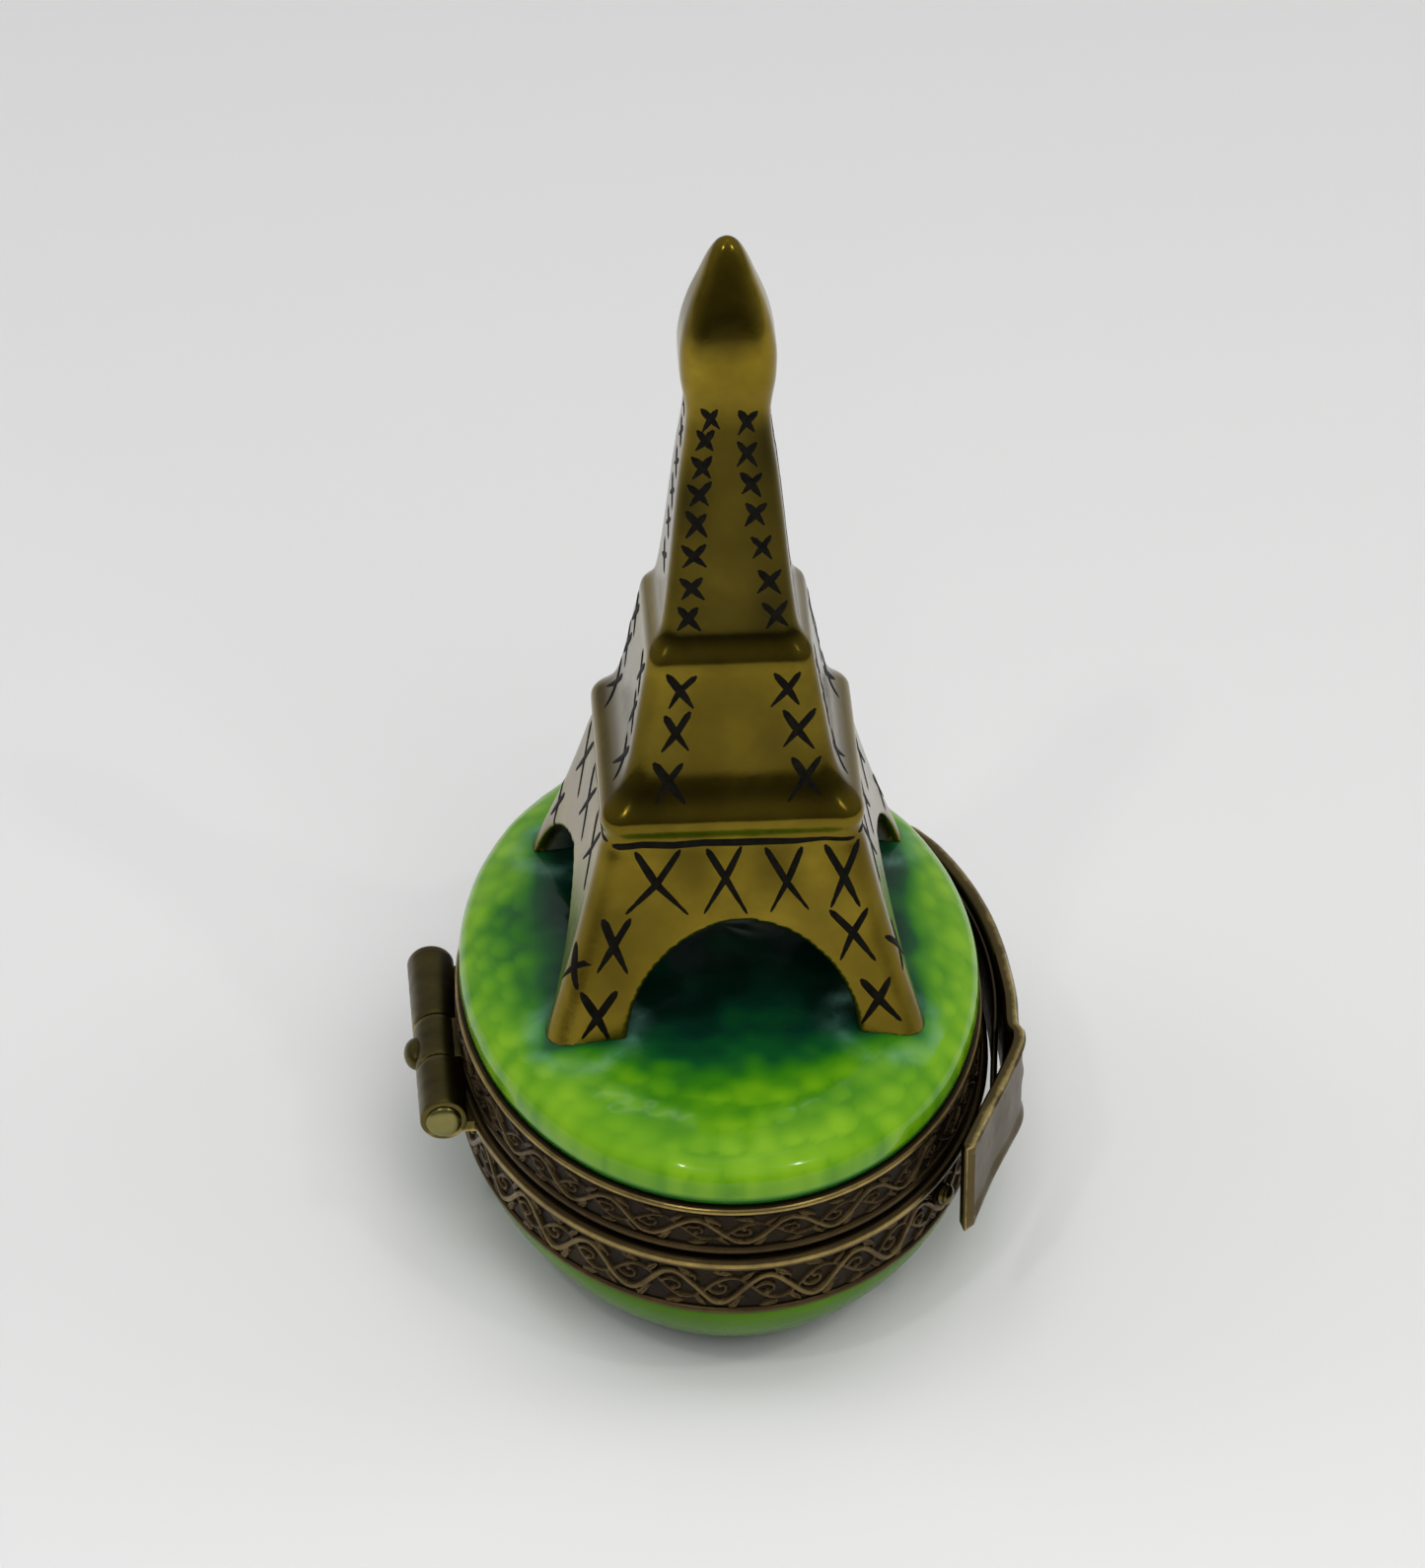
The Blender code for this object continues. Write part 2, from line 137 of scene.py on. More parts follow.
class Mat:
    """A node material built by short calls."""

    def __init__(self, name):
        self.m = bpy.data.materials.new(name)
        self.m.use_nodes = True
        self.t = self.m.node_tree
        self.b = self.t.nodes["Principled BSDF"]
        self.tc = self.t.nodes.new("ShaderNodeTexCoord")

    def node(self, kind, **kw):
        n = self.t.nodes.new(kind)
        for k, v in kw.items():
            setattr(n, k, v)
        return n

    def link(self, a, b):
        self.t.links.new(a, b)

    def attr(self, name):
        n = self.node("ShaderNodeAttribute", attribute_name=name)
        return n.outputs["Fac"]

    def coords(self, scale=(1, 1, 1)):
        mp = self.node("ShaderNodeMapping")
        mp.inputs["Scale"].default_value = scale
        self.link(self.tc.outputs["Object"], mp.inputs["Vector"])
        return mp.outputs["Vector"]

    def noise(self, scale, detail=4, rough=0.55, coords=None, distort=0.0):
        n = self.node("ShaderNodeTexNoise")
        n.inputs["Scale"].default_value = scale
        n.inputs["Detail"].default_value = detail
        n.inputs["Roughness"].default_value = rough
        n.inputs["Distortion"].default_value = distort
        self.link(coords or self.tc.outputs["Object"], n.inputs["Vector"])
        return n.outputs["Fac"]

    def voronoi(self, scale, coords=None, feature="F1", smooth=None):
        n = self.node("ShaderNodeTexVoronoi", feature=feature)
        n.inputs["Scale"].default_value = scale
        if smooth is not None:
            n.inputs["Smoothness"].default_value = smooth
        self.link(coords or self.tc.outputs["Object"], n.inputs["Vector"])
        return n.outputs["Distance"]

    def ramp(self, fac, stops, interp="LINEAR"):
        n = self.node("ShaderNodeValToRGB")
        n.color_ramp.interpolation = interp
        e = n.color_ramp.elements
        while len(e) < len(stops):
            e.new(0.5)
        for el, (p, c) in zip(e, stops):
            el.position = p
            el.color = (*c, 1) if len(c) == 3 else c
        self.link(fac, n.inputs["Fac"])
        return n.outputs["Color"]

    def math(self, op, a, b=None, clamp=False):
        n = self.node("ShaderNodeMath", operation=op, use_clamp=clamp)
        for i, v in enumerate((a, b)):
            if v is None:
                continue
            if isinstance(v, (int, float)):
                n.inputs[i].default_value = v
            else:
                self.link(v, n.inputs[i])
        return n.outputs[0]

    def mix(self, fac, a, b, blend="MIX"):
        n = self.node("ShaderNodeMix", data_type="RGBA", blend_type=blend)
        for sock, v in ((n.inputs[0], fac), (n.inputs[6], a), (n.inputs[7], b)):
            if isinstance(v, tuple):
                sock.default_value = (*v, 1) if len(v) == 3 else v
            elif isinstance(v, (int, float)):
                sock.default_value = v
            else:
                self.link(v, sock)
        return n.outputs[2]

    def range(self, v, a, b, c, d):
        n = self.node("ShaderNodeMapRange")
        for i, x in zip((1, 2, 3, 4), (a, b, c, d)):
            n.inputs[i].default_value = x
        self.link(v, n.inputs[0])
        return n.outputs[0]

    def bump(self, height, strength, distance):
        n = self.node("ShaderNodeBump")
        n.inputs["Strength"].default_value = strength
        n.inputs["Distance"].default_value = distance
        self.link(height, n.inputs["Height"])
        self.link(n.outputs["Normal"], self.b.inputs["Normal"])
        return n

    def set(self, **kw):
        for k, v in kw.items():
            s = self.b.inputs[k.replace("_", " ")]
            if isinstance(v, (int, float)):
                s.default_value = v
            elif isinstance(v, tuple):
                s.default_value = (*v, 1) if len(v) == 3 else v
            else:
                self.link(v, s)
        return self


def glaze_lid():
    m = Mat("green_glaze_lid")
    # The shade attribute holds the glaze painting plus painted shade under the tower and along its footprint.
    shade = m.attr("shade")
    fine = m.noise(380, 3, 0.5, distort=0.5)
    mid = m.noise(130, 2, 0.45, distort=0.5)
    v = m.math("ADD", shade, m.math("MULTIPLY", m.math("SUBTRACT", fine, 0.5), 0.05))
    v = m.math("ADD", v, m.math("MULTIPLY", m.math("SUBTRACT", mid, 0.5), 0.24), clamp=True)
    col = m.ramp(v, [(0.0, (0.0010, 0.010, 0.006)), (0.16, (0.0015, 0.024, 0.012)), (0.32, (0.004, 0.068, 0.013)),
                     (0.48, (0.022, 0.150, 0.005)), (0.64, (0.056, 0.220, 0.004)), (0.82, (0.112, 0.305, 0.005)), (1.0, (0.19, 0.40, 0.010))])
    haze = m.attr("haze")
    hz = m.math("MULTIPLY", haze, m.range(fine, 0.35, 0.7, 0.1, 1.0), clamp=True)
    col = m.mix(hz, col, (0.17, 0.36, 0.30))
    m.set(Base_Color=col, Roughness=0.15, Coat_Weight=0.15, Coat_Roughness=0.04, Specular_IOR_Level=0.28, IOR=1.45)
    m.bump(m.noise(260, 2, 0.5), 0.10, 0.0002)
    return m.m


def glaze_base():
    m = Mat("green_glaze_base")
    shade = m.attr("shade")
    mid = m.noise(120, 3, 0.5, distort=0.4)
    fine = m.noise(480, 4, 0.6)
    v = m.math("ADD", shade, m.math("MULTIPLY", m.math("SUBTRACT", mid, 0.5), 0.30))
    v = m.math("ADD", v, m.math("MULTIPLY", m.math("SUBTRACT", fine, 0.5), 0.05), clamp=True)
    # The whole ramp is held darker than the lid's: painted shade on the bowl, which faces down towards the floor.
    col = m.ramp(v, [(0.0, (0.008, 0.040, 0.001)), (0.35, (0.030, 0.095, 0.001)), (0.65, (0.060, 0.160, 0.002)), (1.0, (0.10, 0.24, 0.004))])
    m.set(Base_Color=col, Roughness=0.26, Coat_Weight=0.0, Specular_IOR_Level=0.12, IOR=1.4)
    m.bump(m.noise(120, 2, 0.5), 0.06, 0.0002)
    return m.m


def glaze_white():
    m = Mat("white_glaze_inside")
    n = m.noise(90, 4, 0.5)
    col = m.ramp(n, [(0.3, (0.74, 0.74, 0.70)), (0.7, (0.86, 0.86, 0.83))])
    m.set(Base_Color=col, Roughness=0.16, Coat_Weight=0.5, Coat_Roughness=0.05)
    m.bump(m.noise(300, 3, 0.6), 0.08, 0.0002)
    return m.m


def gold_lustre():
    m = Mat("gold_lustre")
    skin = m.attr("skin")            # 1 on the gilded outside, 0 in the vault
    big = m.noise(110, 3, 0.5, distort=0.5)
    fine = m.noise(900, 5, 0.65)
    g = m.math("ADD", m.math("MULTIPLY", big, 0.75), m.math("MULTIPLY", fine, 0.25))
    gold = m.ramp(g, [(0.32, (0.150, 0.104, 0.007)), (0.52, (0.225, 0.158, 0.013)), (0.72, (0.34, 0.245, 0.026))])
    # Painted shade: the concave fillets above the two ledges are darkened.
    crease_shade = m.attr("groove")
    gold = m.mix(crease_shade, gold, (0.020, 0.013, 0.003))
    # Painted reflection: the gold is darkened where its faces would mirror the dark surroundings.
    gold = m.mix(m.attr("tone"), (0.022, 0.017, 0.002), gold)
    # Inside the arches the bare glaze is painted dark grey-green, and darker still further in: painted shade and a
    # painted green reflection of the lid.
    bare = m.ramp(m.noise(300, 4, 0.6), [(0.35, (0.045, 0.060, 0.045)), (0.65, (0.15, 0.17, 0.14))])
    bare = m.mix(m.attr("deep"), bare, (0.012, 0.03, 0.024))
    m.set(Base_Color=m.mix(skin, bare, gold), Metallic=m.math("MULTIPLY", skin, 0.93),
          Roughness=m.math("ADD", 0.10, m.math("MULTIPLY", fine, 0.16)))
    m.bump(m.math("ADD", m.math("MULTIPLY", fine, 0.35), m.noise(300, 3, 0.55)), 0.16, 0.00012)
    return m.m


def enamel():
    m = Mat("black_enamel")
    n = m.noise(1500, 4, 0.6)
    m.set(Base_Color=m.ramp(n, [(0.3, (0.0022, 0.0020, 0.0016)), (0.75, (0.009, 0.008, 0.005))]), Roughness=0.55, Specular_IOR_Level=0.06)
    m.bump(n, 0.15, 0.00004)
    return m.m


def bronze(name, relief=False):
    m = Mat(name)
    fine = m.noise(1400, 5, 0.65)
    mid = m.noise(260, 4, 0.6)
    wear = m.attr("wear")
    w = m.math("ADD", wear, m.math("MULTIPLY", m.math("SUBTRACT", mid, 0.5), 0.45))
    w = m.math("ADD", w, m.math("MULTIPLY", m.math("SUBTRACT", fine, 0.5), 0.22), clamp=True)
    col = m.ramp(w, [(0.0, (0.011, 0.0070, 0.0030)), (0.30, (0.044, 0.028, 0.012)), (0.55, (0.108, 0.074, 0.032)),
                     (0.80, (0.215, 0.156, 0.058)), (1.0, (0.50, 0.36, 0.11))])
    m.set(Base_Color=col, Metallic=m.range(w, 0.0, 0.5, 0.75, 1.0), Roughness=m.range(w, 0.2, 1.0, 0.50, 0.27))
    m.bump(m.math("ADD", m.math("MULTIPLY", fine, 0.6), m.noise(500, 3, 0.6)), 0.35 if relief else 0.22, 0.00012)
    return m.m


def brass(name, dark=(0.075, 0.060, 0.026), light=(0.28, 0.225, 0.085), rough=0.34):
    m = Mat(name)
    fine = m.noise(1600, 5, 0.65)
    mid = m.noise(220, 4, 0.6)
    wear = m.attr("wear")
    w = m.math("ADD", m.math("MULTIPLY", wear, 0.7), m.math("MULTIPLY", m.math("ADD", mid, m.math("MULTIPLY", fine, 0.5)), 0.42), clamp=True)
    col = m.ramp(w, [(0.18, dark), (0.5, tuple((a + b) / 2 for a, b in zip(dark, light))), (0.82, light), (1.0, (0.72, 0.56, 0.20))])
    m.set(Base_Color=col, Metallic=1.0, Roughness=m.range(w, 0.2, 1.0, rough + 0.10, rough - 0.10))
    m.bump(m.math("ADD", m.math("MULTIPLY", fine, 0.5), mid), 0.22, 0.00012)
    return m.m


def plaster():
    m = Mat("plaster_bond")
    n = m.noise(800, 5, 0.7)
    m.set(Base_Color=m.ramp(n, [(0.3, (0.45, 0.42, 0.36)), (0.7, (0.66, 0.63, 0.56))]), Roughness=0.9)
    m.bump(n, 0.5, 0.0001)
    return m.m


def floor_mat():
    m = Mat("pale_floor")
    n = m.noise(3.0, 2, 0.5)
    m.set(Base_Color=m.ramp(n, [(0.3, (0.750, 0.752, 0.758)), (0.7, (0.762, 0.764, 0.770))]), Roughness=0.75)
    m.b.inputs["Specular IOR Level"].default_value = 0.2
    return m.m


M_LID, M_BASE, M_WHITE, M_GOLD = glaze_lid(), glaze_base(), glaze_white(), gold_lustre()
M_BLACK, M_BRONZE, M_RELIEF = enamel(), bronze("antique_bronze"), bronze("antique_bronze_relief", True)
M_HINGE = brass("hinge_brass", (0.036, 0.028, 0.008), (0.13, 0.105, 0.030), 0.36)
M_CLASP = brass("clasp_brass", (0.034, 0.024, 0.010), (0.135, 0.098, 0.036), 0.36)
# The spring strip's brass is painted dark: painted shade filling the gap behind the ribbon.
M_DARKBRASS = brass("spring_strip_painted_shade", (0.018, 0.014, 0.008), (0.070, 0.052, 0.024), 0.45)
M_PLASTER = plaster()

# ---------------------------------------------------------------- mesh helpers


def mesh_object(name, verts, faces, mats, attrs=None, smooth=True, mat_index=None, sharp=None):
    me = bpy.data.meshes.new(name)
    me.from_pydata([tuple(v) for v in np.asarray(verts, dtype=float) * MM], [], [tuple(int(i) for i in f) for f in faces])
    for m in (mats if isinstance(mats, (list, tuple)) else [mats]):
        me.materials.append(m)
    if mat_index is not None:
        me.polygons.foreach_set("material_index", np.asarray(mat_index, dtype=np.int32))
    me.validate()
    if smooth:
        me.shade_smooth()
    if sharp:
        me.set_sharp_from_angle(angle=math.radians(sharp))
    for k, v in (attrs or {}).items():
        a = me.attributes.new(k, "FLOAT", "POINT")
        a.data.foreach_set("value", np.asarray(v, dtype=np.float32))
    o = bpy.data.objects.new(name, me)
    scene.collection.objects.link(o)
    return o


def put_attr(o, **kw):
    for k, v in kw.items():
        a = o.data.attributes.get(k) or o.data.attributes.new(k, "FLOAT", "POINT")
        a.data.foreach_set("value", np.asarray(v, dtype=np.float32))


def coords_of(o):
    co = np.empty(len(o.data.vertices) * 3)
    o.data.vertices.foreach_get("co", co)
    return co.reshape(-1, 3) / MM


def fix_normals(o):
    bm = bmesh.new()
    bm.from_mesh(o.data)
    bmesh.ops.recalc_face_normals(bm, faces=bm.faces)
    bm.to_mesh(o.data)
    bm.free()


def smooth_profile(pts, r=0.10, seg=3, keep=()):
    """Rounds the corners of a closed (a, z) profile."""
    out = []
    n = len(pts)
    for i, p in enumerate(pts):
        p = np.array(p, float)
        a, b = np.array(pts[i - 1], float), np.array(pts[(i + 1) % n], float)
        la, lb = np.linalg.norm(a - p), np.linalg.norm(b - p)
        rr = min(r, la * 0.45, lb * 0.45)
        if i in keep or rr < 1e-4:
            out.append(p)
            continue
        pa, pb = p + (a - p) / la * rr, p + (b - p) / lb * rr
        for k in range(seg + 1):
            t = k / seg
            out.append((1 - t) ** 2 * pa + 2 * t * (1 - t) * p + t * t * pb)
    return np.array(out)


def oval_hoop(name, profile, mats, n=288, attrs=None, wobble=None):
    """A closed (a, z) profile swept round the oval; attrs are per profile point."""
    prof = np.asarray(profile, float)
    m = len(prof)
    t = np.arange(n) * TAU / n
    ct, st = np.cos(t), np.sin(t)
    a, z = prof[:, 0], prof[:, 1]
    A = np.repeat(a[None], n, 0)
    if wobble is not None:
        A = A + wobble(t[:, None], z[None])
    v = np.stack([A * ct[:, None], (A + DB) * st[:, None], np.repeat(z[None], n, 0)], -1).reshape(-1, 3)
    i, j = np.meshgrid(np.arange(n), np.arange(m), indexing="ij")
    i2, j2 = (i + 1) % n, (j + 1) % m
    f = np.stack([i * m + j, i2 * m + j, i2 * m + j2, i * m + j2], -1).reshape(-1, 4)
    at = {k: np.tile(np.asarray(x, float), n) for k, x in (attrs or {}).items()}
    o = mesh_object(name, v, f, mats, at, sharp=50)
    fix_normals(o)
    return o


def oval_skin(name, prof, mats, n=288, attrs=None, mat_rows=None, displace=None):
    """An open (a, z) profile from the bottom middle over the outside to the top middle, closed by centre points.
    The first and last points are poles."""
    prof = np.asarray(prof, float)
    m = len(prof) - 2
    t = np.arange(n) * TAU / n
    a, z = prof[1:-1, 0], prof[1:-1, 1]
    b = prof[1:-1, 2] if prof.shape[1] > 2 else a + DB
    X = a[None] * np.cos(t)[:, None]
    Y = b[None] * np.sin(t)[:, None]
    Z = np.repeat(z[None], n, 0).astype(float)
    if displace is not None:
        Z = Z + displace(X, Y, Z)
    v = np.concatenate([np.stack([X, Y, Z], -1).reshape(-1, 3), [[0, 0, prof[0][1]], [0, 0, prof[-1][1]]]])
    faces, mi = [], []
    P0, P1 = n * m, n * m + 1
    for i in range(n):
        i2 = (i + 1) % n
        faces.append((P0, i2 * m, i * m))
        mi.append(mat_rows[0] if mat_rows else 0)
        for j in range(m - 1):
            faces.append((i * m + j, i2 * m + j, i2 * m + j + 1, i * m + j + 1))
            mi.append(mat_rows[j + 1] if mat_rows else 0)
        faces.append((i * m + m - 1, i2 * m + m - 1, P1))
        mi.append(mat_rows[-1] if mat_rows else 0)
    o = mesh_object(name, v, faces, mats, None, mat_index=mi, sharp=60)
    fix_normals(o)
    return o


def modifier_apply(o):
    dg = bpy.context.evaluated_depsgraph_get()
    me = bpy.data.meshes.new_from_object(o.evaluated_get(dg), preserve_all_data_layers=True, depsgraph=dg)
    old = o.data
    o.modifiers.clear()
    o.data = me
    me.name = o.name
    bpy.data.meshes.remove(old)
    return o


def boolean(o, cutter, op="DIFFERENCE"):
    m = o.modifiers.new("b", "BOOLEAN")
    m.operation, m.object, m.solver = op, cutter, "EXACT"
    bpy.context.view_layer.update()
    modifier_apply(o)
    bpy.data.objects.remove(cutter, do_unlink=True)
    return o


def y_cylinder(name, rows, mats=None, seg=72, x=-20.95, z=13.75):
    """Rings of (radius, y) about the hinge axis, capped."""
    v, f = [], []
    for r, y in rows:
        for i in range(seg):
            v.append((x + r * math.cos(TAU * i / seg), y, z + r * math.sin(TAU * i / seg)))
    for k in range(len(rows) - 1):
        for i in range(seg):
            j = (i + 1) % seg
            f.append((k * seg + i, k * seg + j, (k + 1) * seg + j, (k + 1) * seg + i))
    v.append((x, rows[0][1], z))
    v.append((x, rows[-1][1], z))
    a, b = len(v) - 2, len(v) - 1
    for i in range(seg):
        j = (i + 1) % seg
        f.append((a, j, i))
        f.append((b, (len(rows) - 1) * seg + i, (len(rows) - 1) * seg + j))
    o = mesh_object(name, v, f, mats or [], sharp=40)
    fix_normals(o)
    return o


# smooth value noise for shapes, the same on every run
_rng = np.random.default_rng(7)
_G = _rng.random((64, 64))


def vnoise(x, y):
    xi, yi = np.floor(x).astype(int), np.floor(y).astype(int)
    fx, fy = x - xi, y - yi
    fx, fy = fx * fx * (3 - 2 * fx), fy * fy * (3 - 2 * fy)
    g = lambda a, b: _G[a % 64, b % 64]
    return (g(xi, yi) * (1 - fx) * (1 - fy) + g(xi + 1, yi) * fx * (1 - fy) + g(xi, yi + 1) * (1 - fx) * fy + g(xi + 1, yi + 1) * fx * fy)


# ---------------------------------------------------------------- floor
floor = bpy.data.objects.new("floor", bpy.data.meshes.new("floor"))
floor.data.from_pydata([(-3, -3, 0), (3, -3, 0), (3, 3, 0), (-3, 3, 0)], [], [(0, 1, 2, 3)])
floor.data.materials.append(floor_mat())
scene.collection.objects.link(floor)
floor.location.z = -0.00002

# ---------------------------------------------------------------- bowl
FOOT_A, BOWL_A, BOWL_TOP, NECK_A, NECK_IN, BOWL_RIM, FLOOR = 9.5, 19.2, 8.2, 18.15, 16.4, 12.95, 2.1
prof, rows = [(0, 0.0)], []
for a in (3, 6, 8.0, 9.0):
    prof.append((a, 0.0, a / FOOT_A * (FOOT_A + DB)))
prof.append((9.3, 0.0, 9.3 + DB))
prof.append((9.5, 0.06, 9.5 + DB))
for i in range(1, 33):
    t = math.pi / 2 * i / 32
    if i in (1, 2):
        continue
    prof.append((FOOT_A + (BOWL_A - FOOT_A) * math.sin(t) ** (4 / 3), BOWL_TOP * (1 - math.cos(t) ** (4 / 3)) if i < 32 else BOWL_TOP))
prof += [(19.17, 8.22), (18.5, 8.24), (NECK_A, 8.26), (NECK_A, 10.5), (NECK_A, 12.8), (18.0, BOWL_RIM), (16.55, BOWL_RIM), (NECK_IN, 12.8), (NECK_IN, 10.4), (NECK_IN, 8.2)]
outer = len(prof)
for i in range(1, 17):
    t = math.pi / 2 * i / 16
    prof.append((9.4 + (NECK_IN - 9.4) * math.cos(t), BOWL_TOP - (BOWL_TOP - FLOOR) * math.sin(t)))
for k in (0.8, 0.5, 0.2):
    prof.append((9.4 * k, FLOOR, (9.4 + DB) * k))
prof.append((0, FLOOR))
prof = [(p[0], p[1], p[2] if len(p) > 2 else p[0] + DB) for p in prof]
mat_rows = [0 if i < outer - 6 else 1 for i in range(len(prof) - 1)]
bowl = oval_skin("porcelain_bowl", prof, [M_BASE, M_WHITE], mat_rows=mat_rows)
co = coords_of(bowl)
# Darker towards the bottom: painted shade on the underside; the angular noise is random variation in the glaze.
put_attr(bowl, shade=np.clip(0.18 + 0.60 * (co[:, 2] / 8.2) + 0.25 * (vnoise(np.arctan2(co[:, 1], co[:, 0]) * 5 + 20, co[:, 2] * 0.5) - 0.5), 0, 1))
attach(bowl, "base")
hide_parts("base_bowl")

# ---------------------------------------------------------------- collars


def collar(name, pts, r, body, node, bead_wear):
    p = smooth_profile(pts, r, 4)
    wear = np.array([bead_wear(a, z) for a, z in p])
    o = oval_hoop(name, p, M_BRONZE, n=360, attrs={"wear": wear})
    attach(o, body)
    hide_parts(node)
    return o


def hinge_notch(o, r=1.83):
    c = y_cylinder("notch", [(r, -10.0), (r, 10.0)], seg=96)
    return boolean(o, c)


low_pts = [(18.6, 8.3), (19.25, 8.3), (19.45, 8.42), (19.47, 8.68), (19.3, 8.84), (19.12, 8.86), (19.1, 12.5),
           (19.45, 12.56), (19.66, 12.66), (19.86, 12.72), (19.98, 12.9), (20.0, 13.12), (19.97, 13.34), (19.84, 13.52), (19.62, 13.6),
           (16.95, 13.6), (16.95, 13.1), (18.6, 13.1)]
low = collar("lower_mount", low_pts, 0.06, "base", "lower_collar",
             lambda a, z: 0.86 if a > 19.93 and z > 13.0 else (0.50 if a > 19.3 else 0.34))
up_pts = [(17.65, 13.9), (19.3, 13.9), (19.46, 13.97), (19.5, 14.12), (19.5, 14.30), (19.45, 14.42), (19.3, 14.50), (19.1, 14.55), (19.1, 17.3),
          (19.30, 17.36), (19.45, 17.5), (19.5, 17.66), (19.45, 17.82), (19.33, 17.93), (19.15, 18.0),
          (18.6, 18.0), (18.6, 14.75), (18.45, 14.6), (17.65, 14.6)]
upc = collar("upper_mount", up_pts, 0.06, "lid", "upper_collar",
             lambda a, z: 0.88 if (z > 17.6 and a > 19.32) else (0.46 if a > 19.3 else 0.32))

# ---------------------------------------------------------------- vine relief on the galleries


def seg_dist(px, py, ax, ay, bx, by):
    dx, dy = bx - ax, by - ay
    L = dx * dx + dy * dy + 1e-12
    t = np.clip(((px - ax) * dx + (py - ay) * dy) / L, 0, 1)
    return np.hypot(px - ax - t * dx, py - ay - t * dy), t


def stroke(px, py, pts, radii, h):
    """Height of a round strand along pts."""
    best = np.zeros_like(px)
    for (a, b, ra, rb) in zip(pts[:-1], pts[1:], radii[:-1], radii[1:]):
        d, t = seg_dist(px, py, a[0], a[1], b[0], b[1])
        r = ra + (rb - ra) * t
        u = np.clip(1 - (d / r) ** 2, 0, 1)
        best = np.maximum(best, h * np.sqrt(u) * (0.55 + 0.45 * r / max(radii)))
    return best


def leaf(px, py, cx, cy, ang, length, width, h):
    c, s = math.cos(ang), math.sin(ang)
    u = ((px - cx) * c + (py - cy) * s) / length
    v = (-(px - cx) * s + (py - cy) * c)
    w = width * np.clip(1 - (2 * u) ** 2, 0, 1) ** 0.7 * (1 - 0.25 * u * 2)
    k = np.clip(1 - (v / np.maximum(w / 2, 1e-3)) ** 2, 0, 1)
    k = np.where(np.abs(u) < 0.5, k, 0)
    return h * np.sqrt(k) * (1 - 0.38 * np.exp(-(v / 0.05) ** 2))


def vine_tile(px, py, P, H):
    """Height over the ground of one repeat; px in [0, P), py in [0, H]."""
    out = np.zeros_like(px)
    mid, amp = H / 2, H * 0.34
    for shift in (-P, 0, P):
        x = px - shift
        xs = np.linspace(0, P, 25)
        main = [(q, mid + amp * math.sin(TAU * q / P)) for q in xs]
        out = np.maximum(out, stroke(x, py, main, [0.27] * 25, 0.40))
        ribs = [(q, mid + amp * 0.98 * math.sin(TAU * q / P) + 0.0) for q in xs]
        d = np.min([seg_dist(x, py, *ribs[i], *ribs[i + 1])[0] for i in range(24)], 0)
        out = out - 0.07 * np.exp(-(d / 0.07) ** 2)
        sec = [(q, mid - amp * 0.80 * math.sin(TAU * q / P - 0.75)) for q in xs]
        out = np.maximum(out, stroke(x, py, sec, [0.16 + 0.06 * math.sin(TAU * q / P) ** 2 for q in xs], 0.26))
        for side, cx in ((1, 0.25 * P), (-1, 0.75 * P)):
            cy = mid - side * amp * 0.10
            curl, rad = [], []
            for k in range(14):
                f = k / 13
                a = side * (math.pi * 0.15 + f * TAU * 0.66)
                rr = (0.30 - 0.20 * f) * H * 0.62
                curl.append((cx + rr * 1.35 * math.cos(a) * -1, cy + rr * math.sin(a) * 0.95))
                rad.append(0.175 - 0.05 * f)
            out = np.maximum(out, stroke(x, py, curl, rad, 0.30))
            out = np.maximum(out, 0.33 * np.sqrt(np.clip(1 - (((x - curl[-1][0]) ** 2 + (py - curl[-1][1]) ** 2) / 0.24 ** 2), 0, 1)))
            out = np.maximum(out, leaf(x, py, cx + 0.17 * P, mid + side * amp * 1.02, side * -0.75 + 0.2, 0.24 * P, 0.42 * H * 0.42, 0.30))
            out = np.maximum(out, leaf(x, py, cx - 0.21 * P, mid + side * amp * 0.95, side * 0.7, 0.20 * P, 0.40 * H * 0.40, 0.28))
            out = np.maximum(out, leaf(x, py, cx + 0.02 * P, mid - side * amp * 1.22, side * 0.25, 0.22 * P, 0.22 * H, 0.26))
            for bx, by in ((0.10, 1.18), (0.245, 0.55)):
                out = np.maximum(out, 0.26 * np.sqrt(np.clip(1 - (((x - cx - bx * P) ** 2 + (py - mid - side * amp * by) ** 2) / 0.15 ** 2), 0, 1)))
    return out


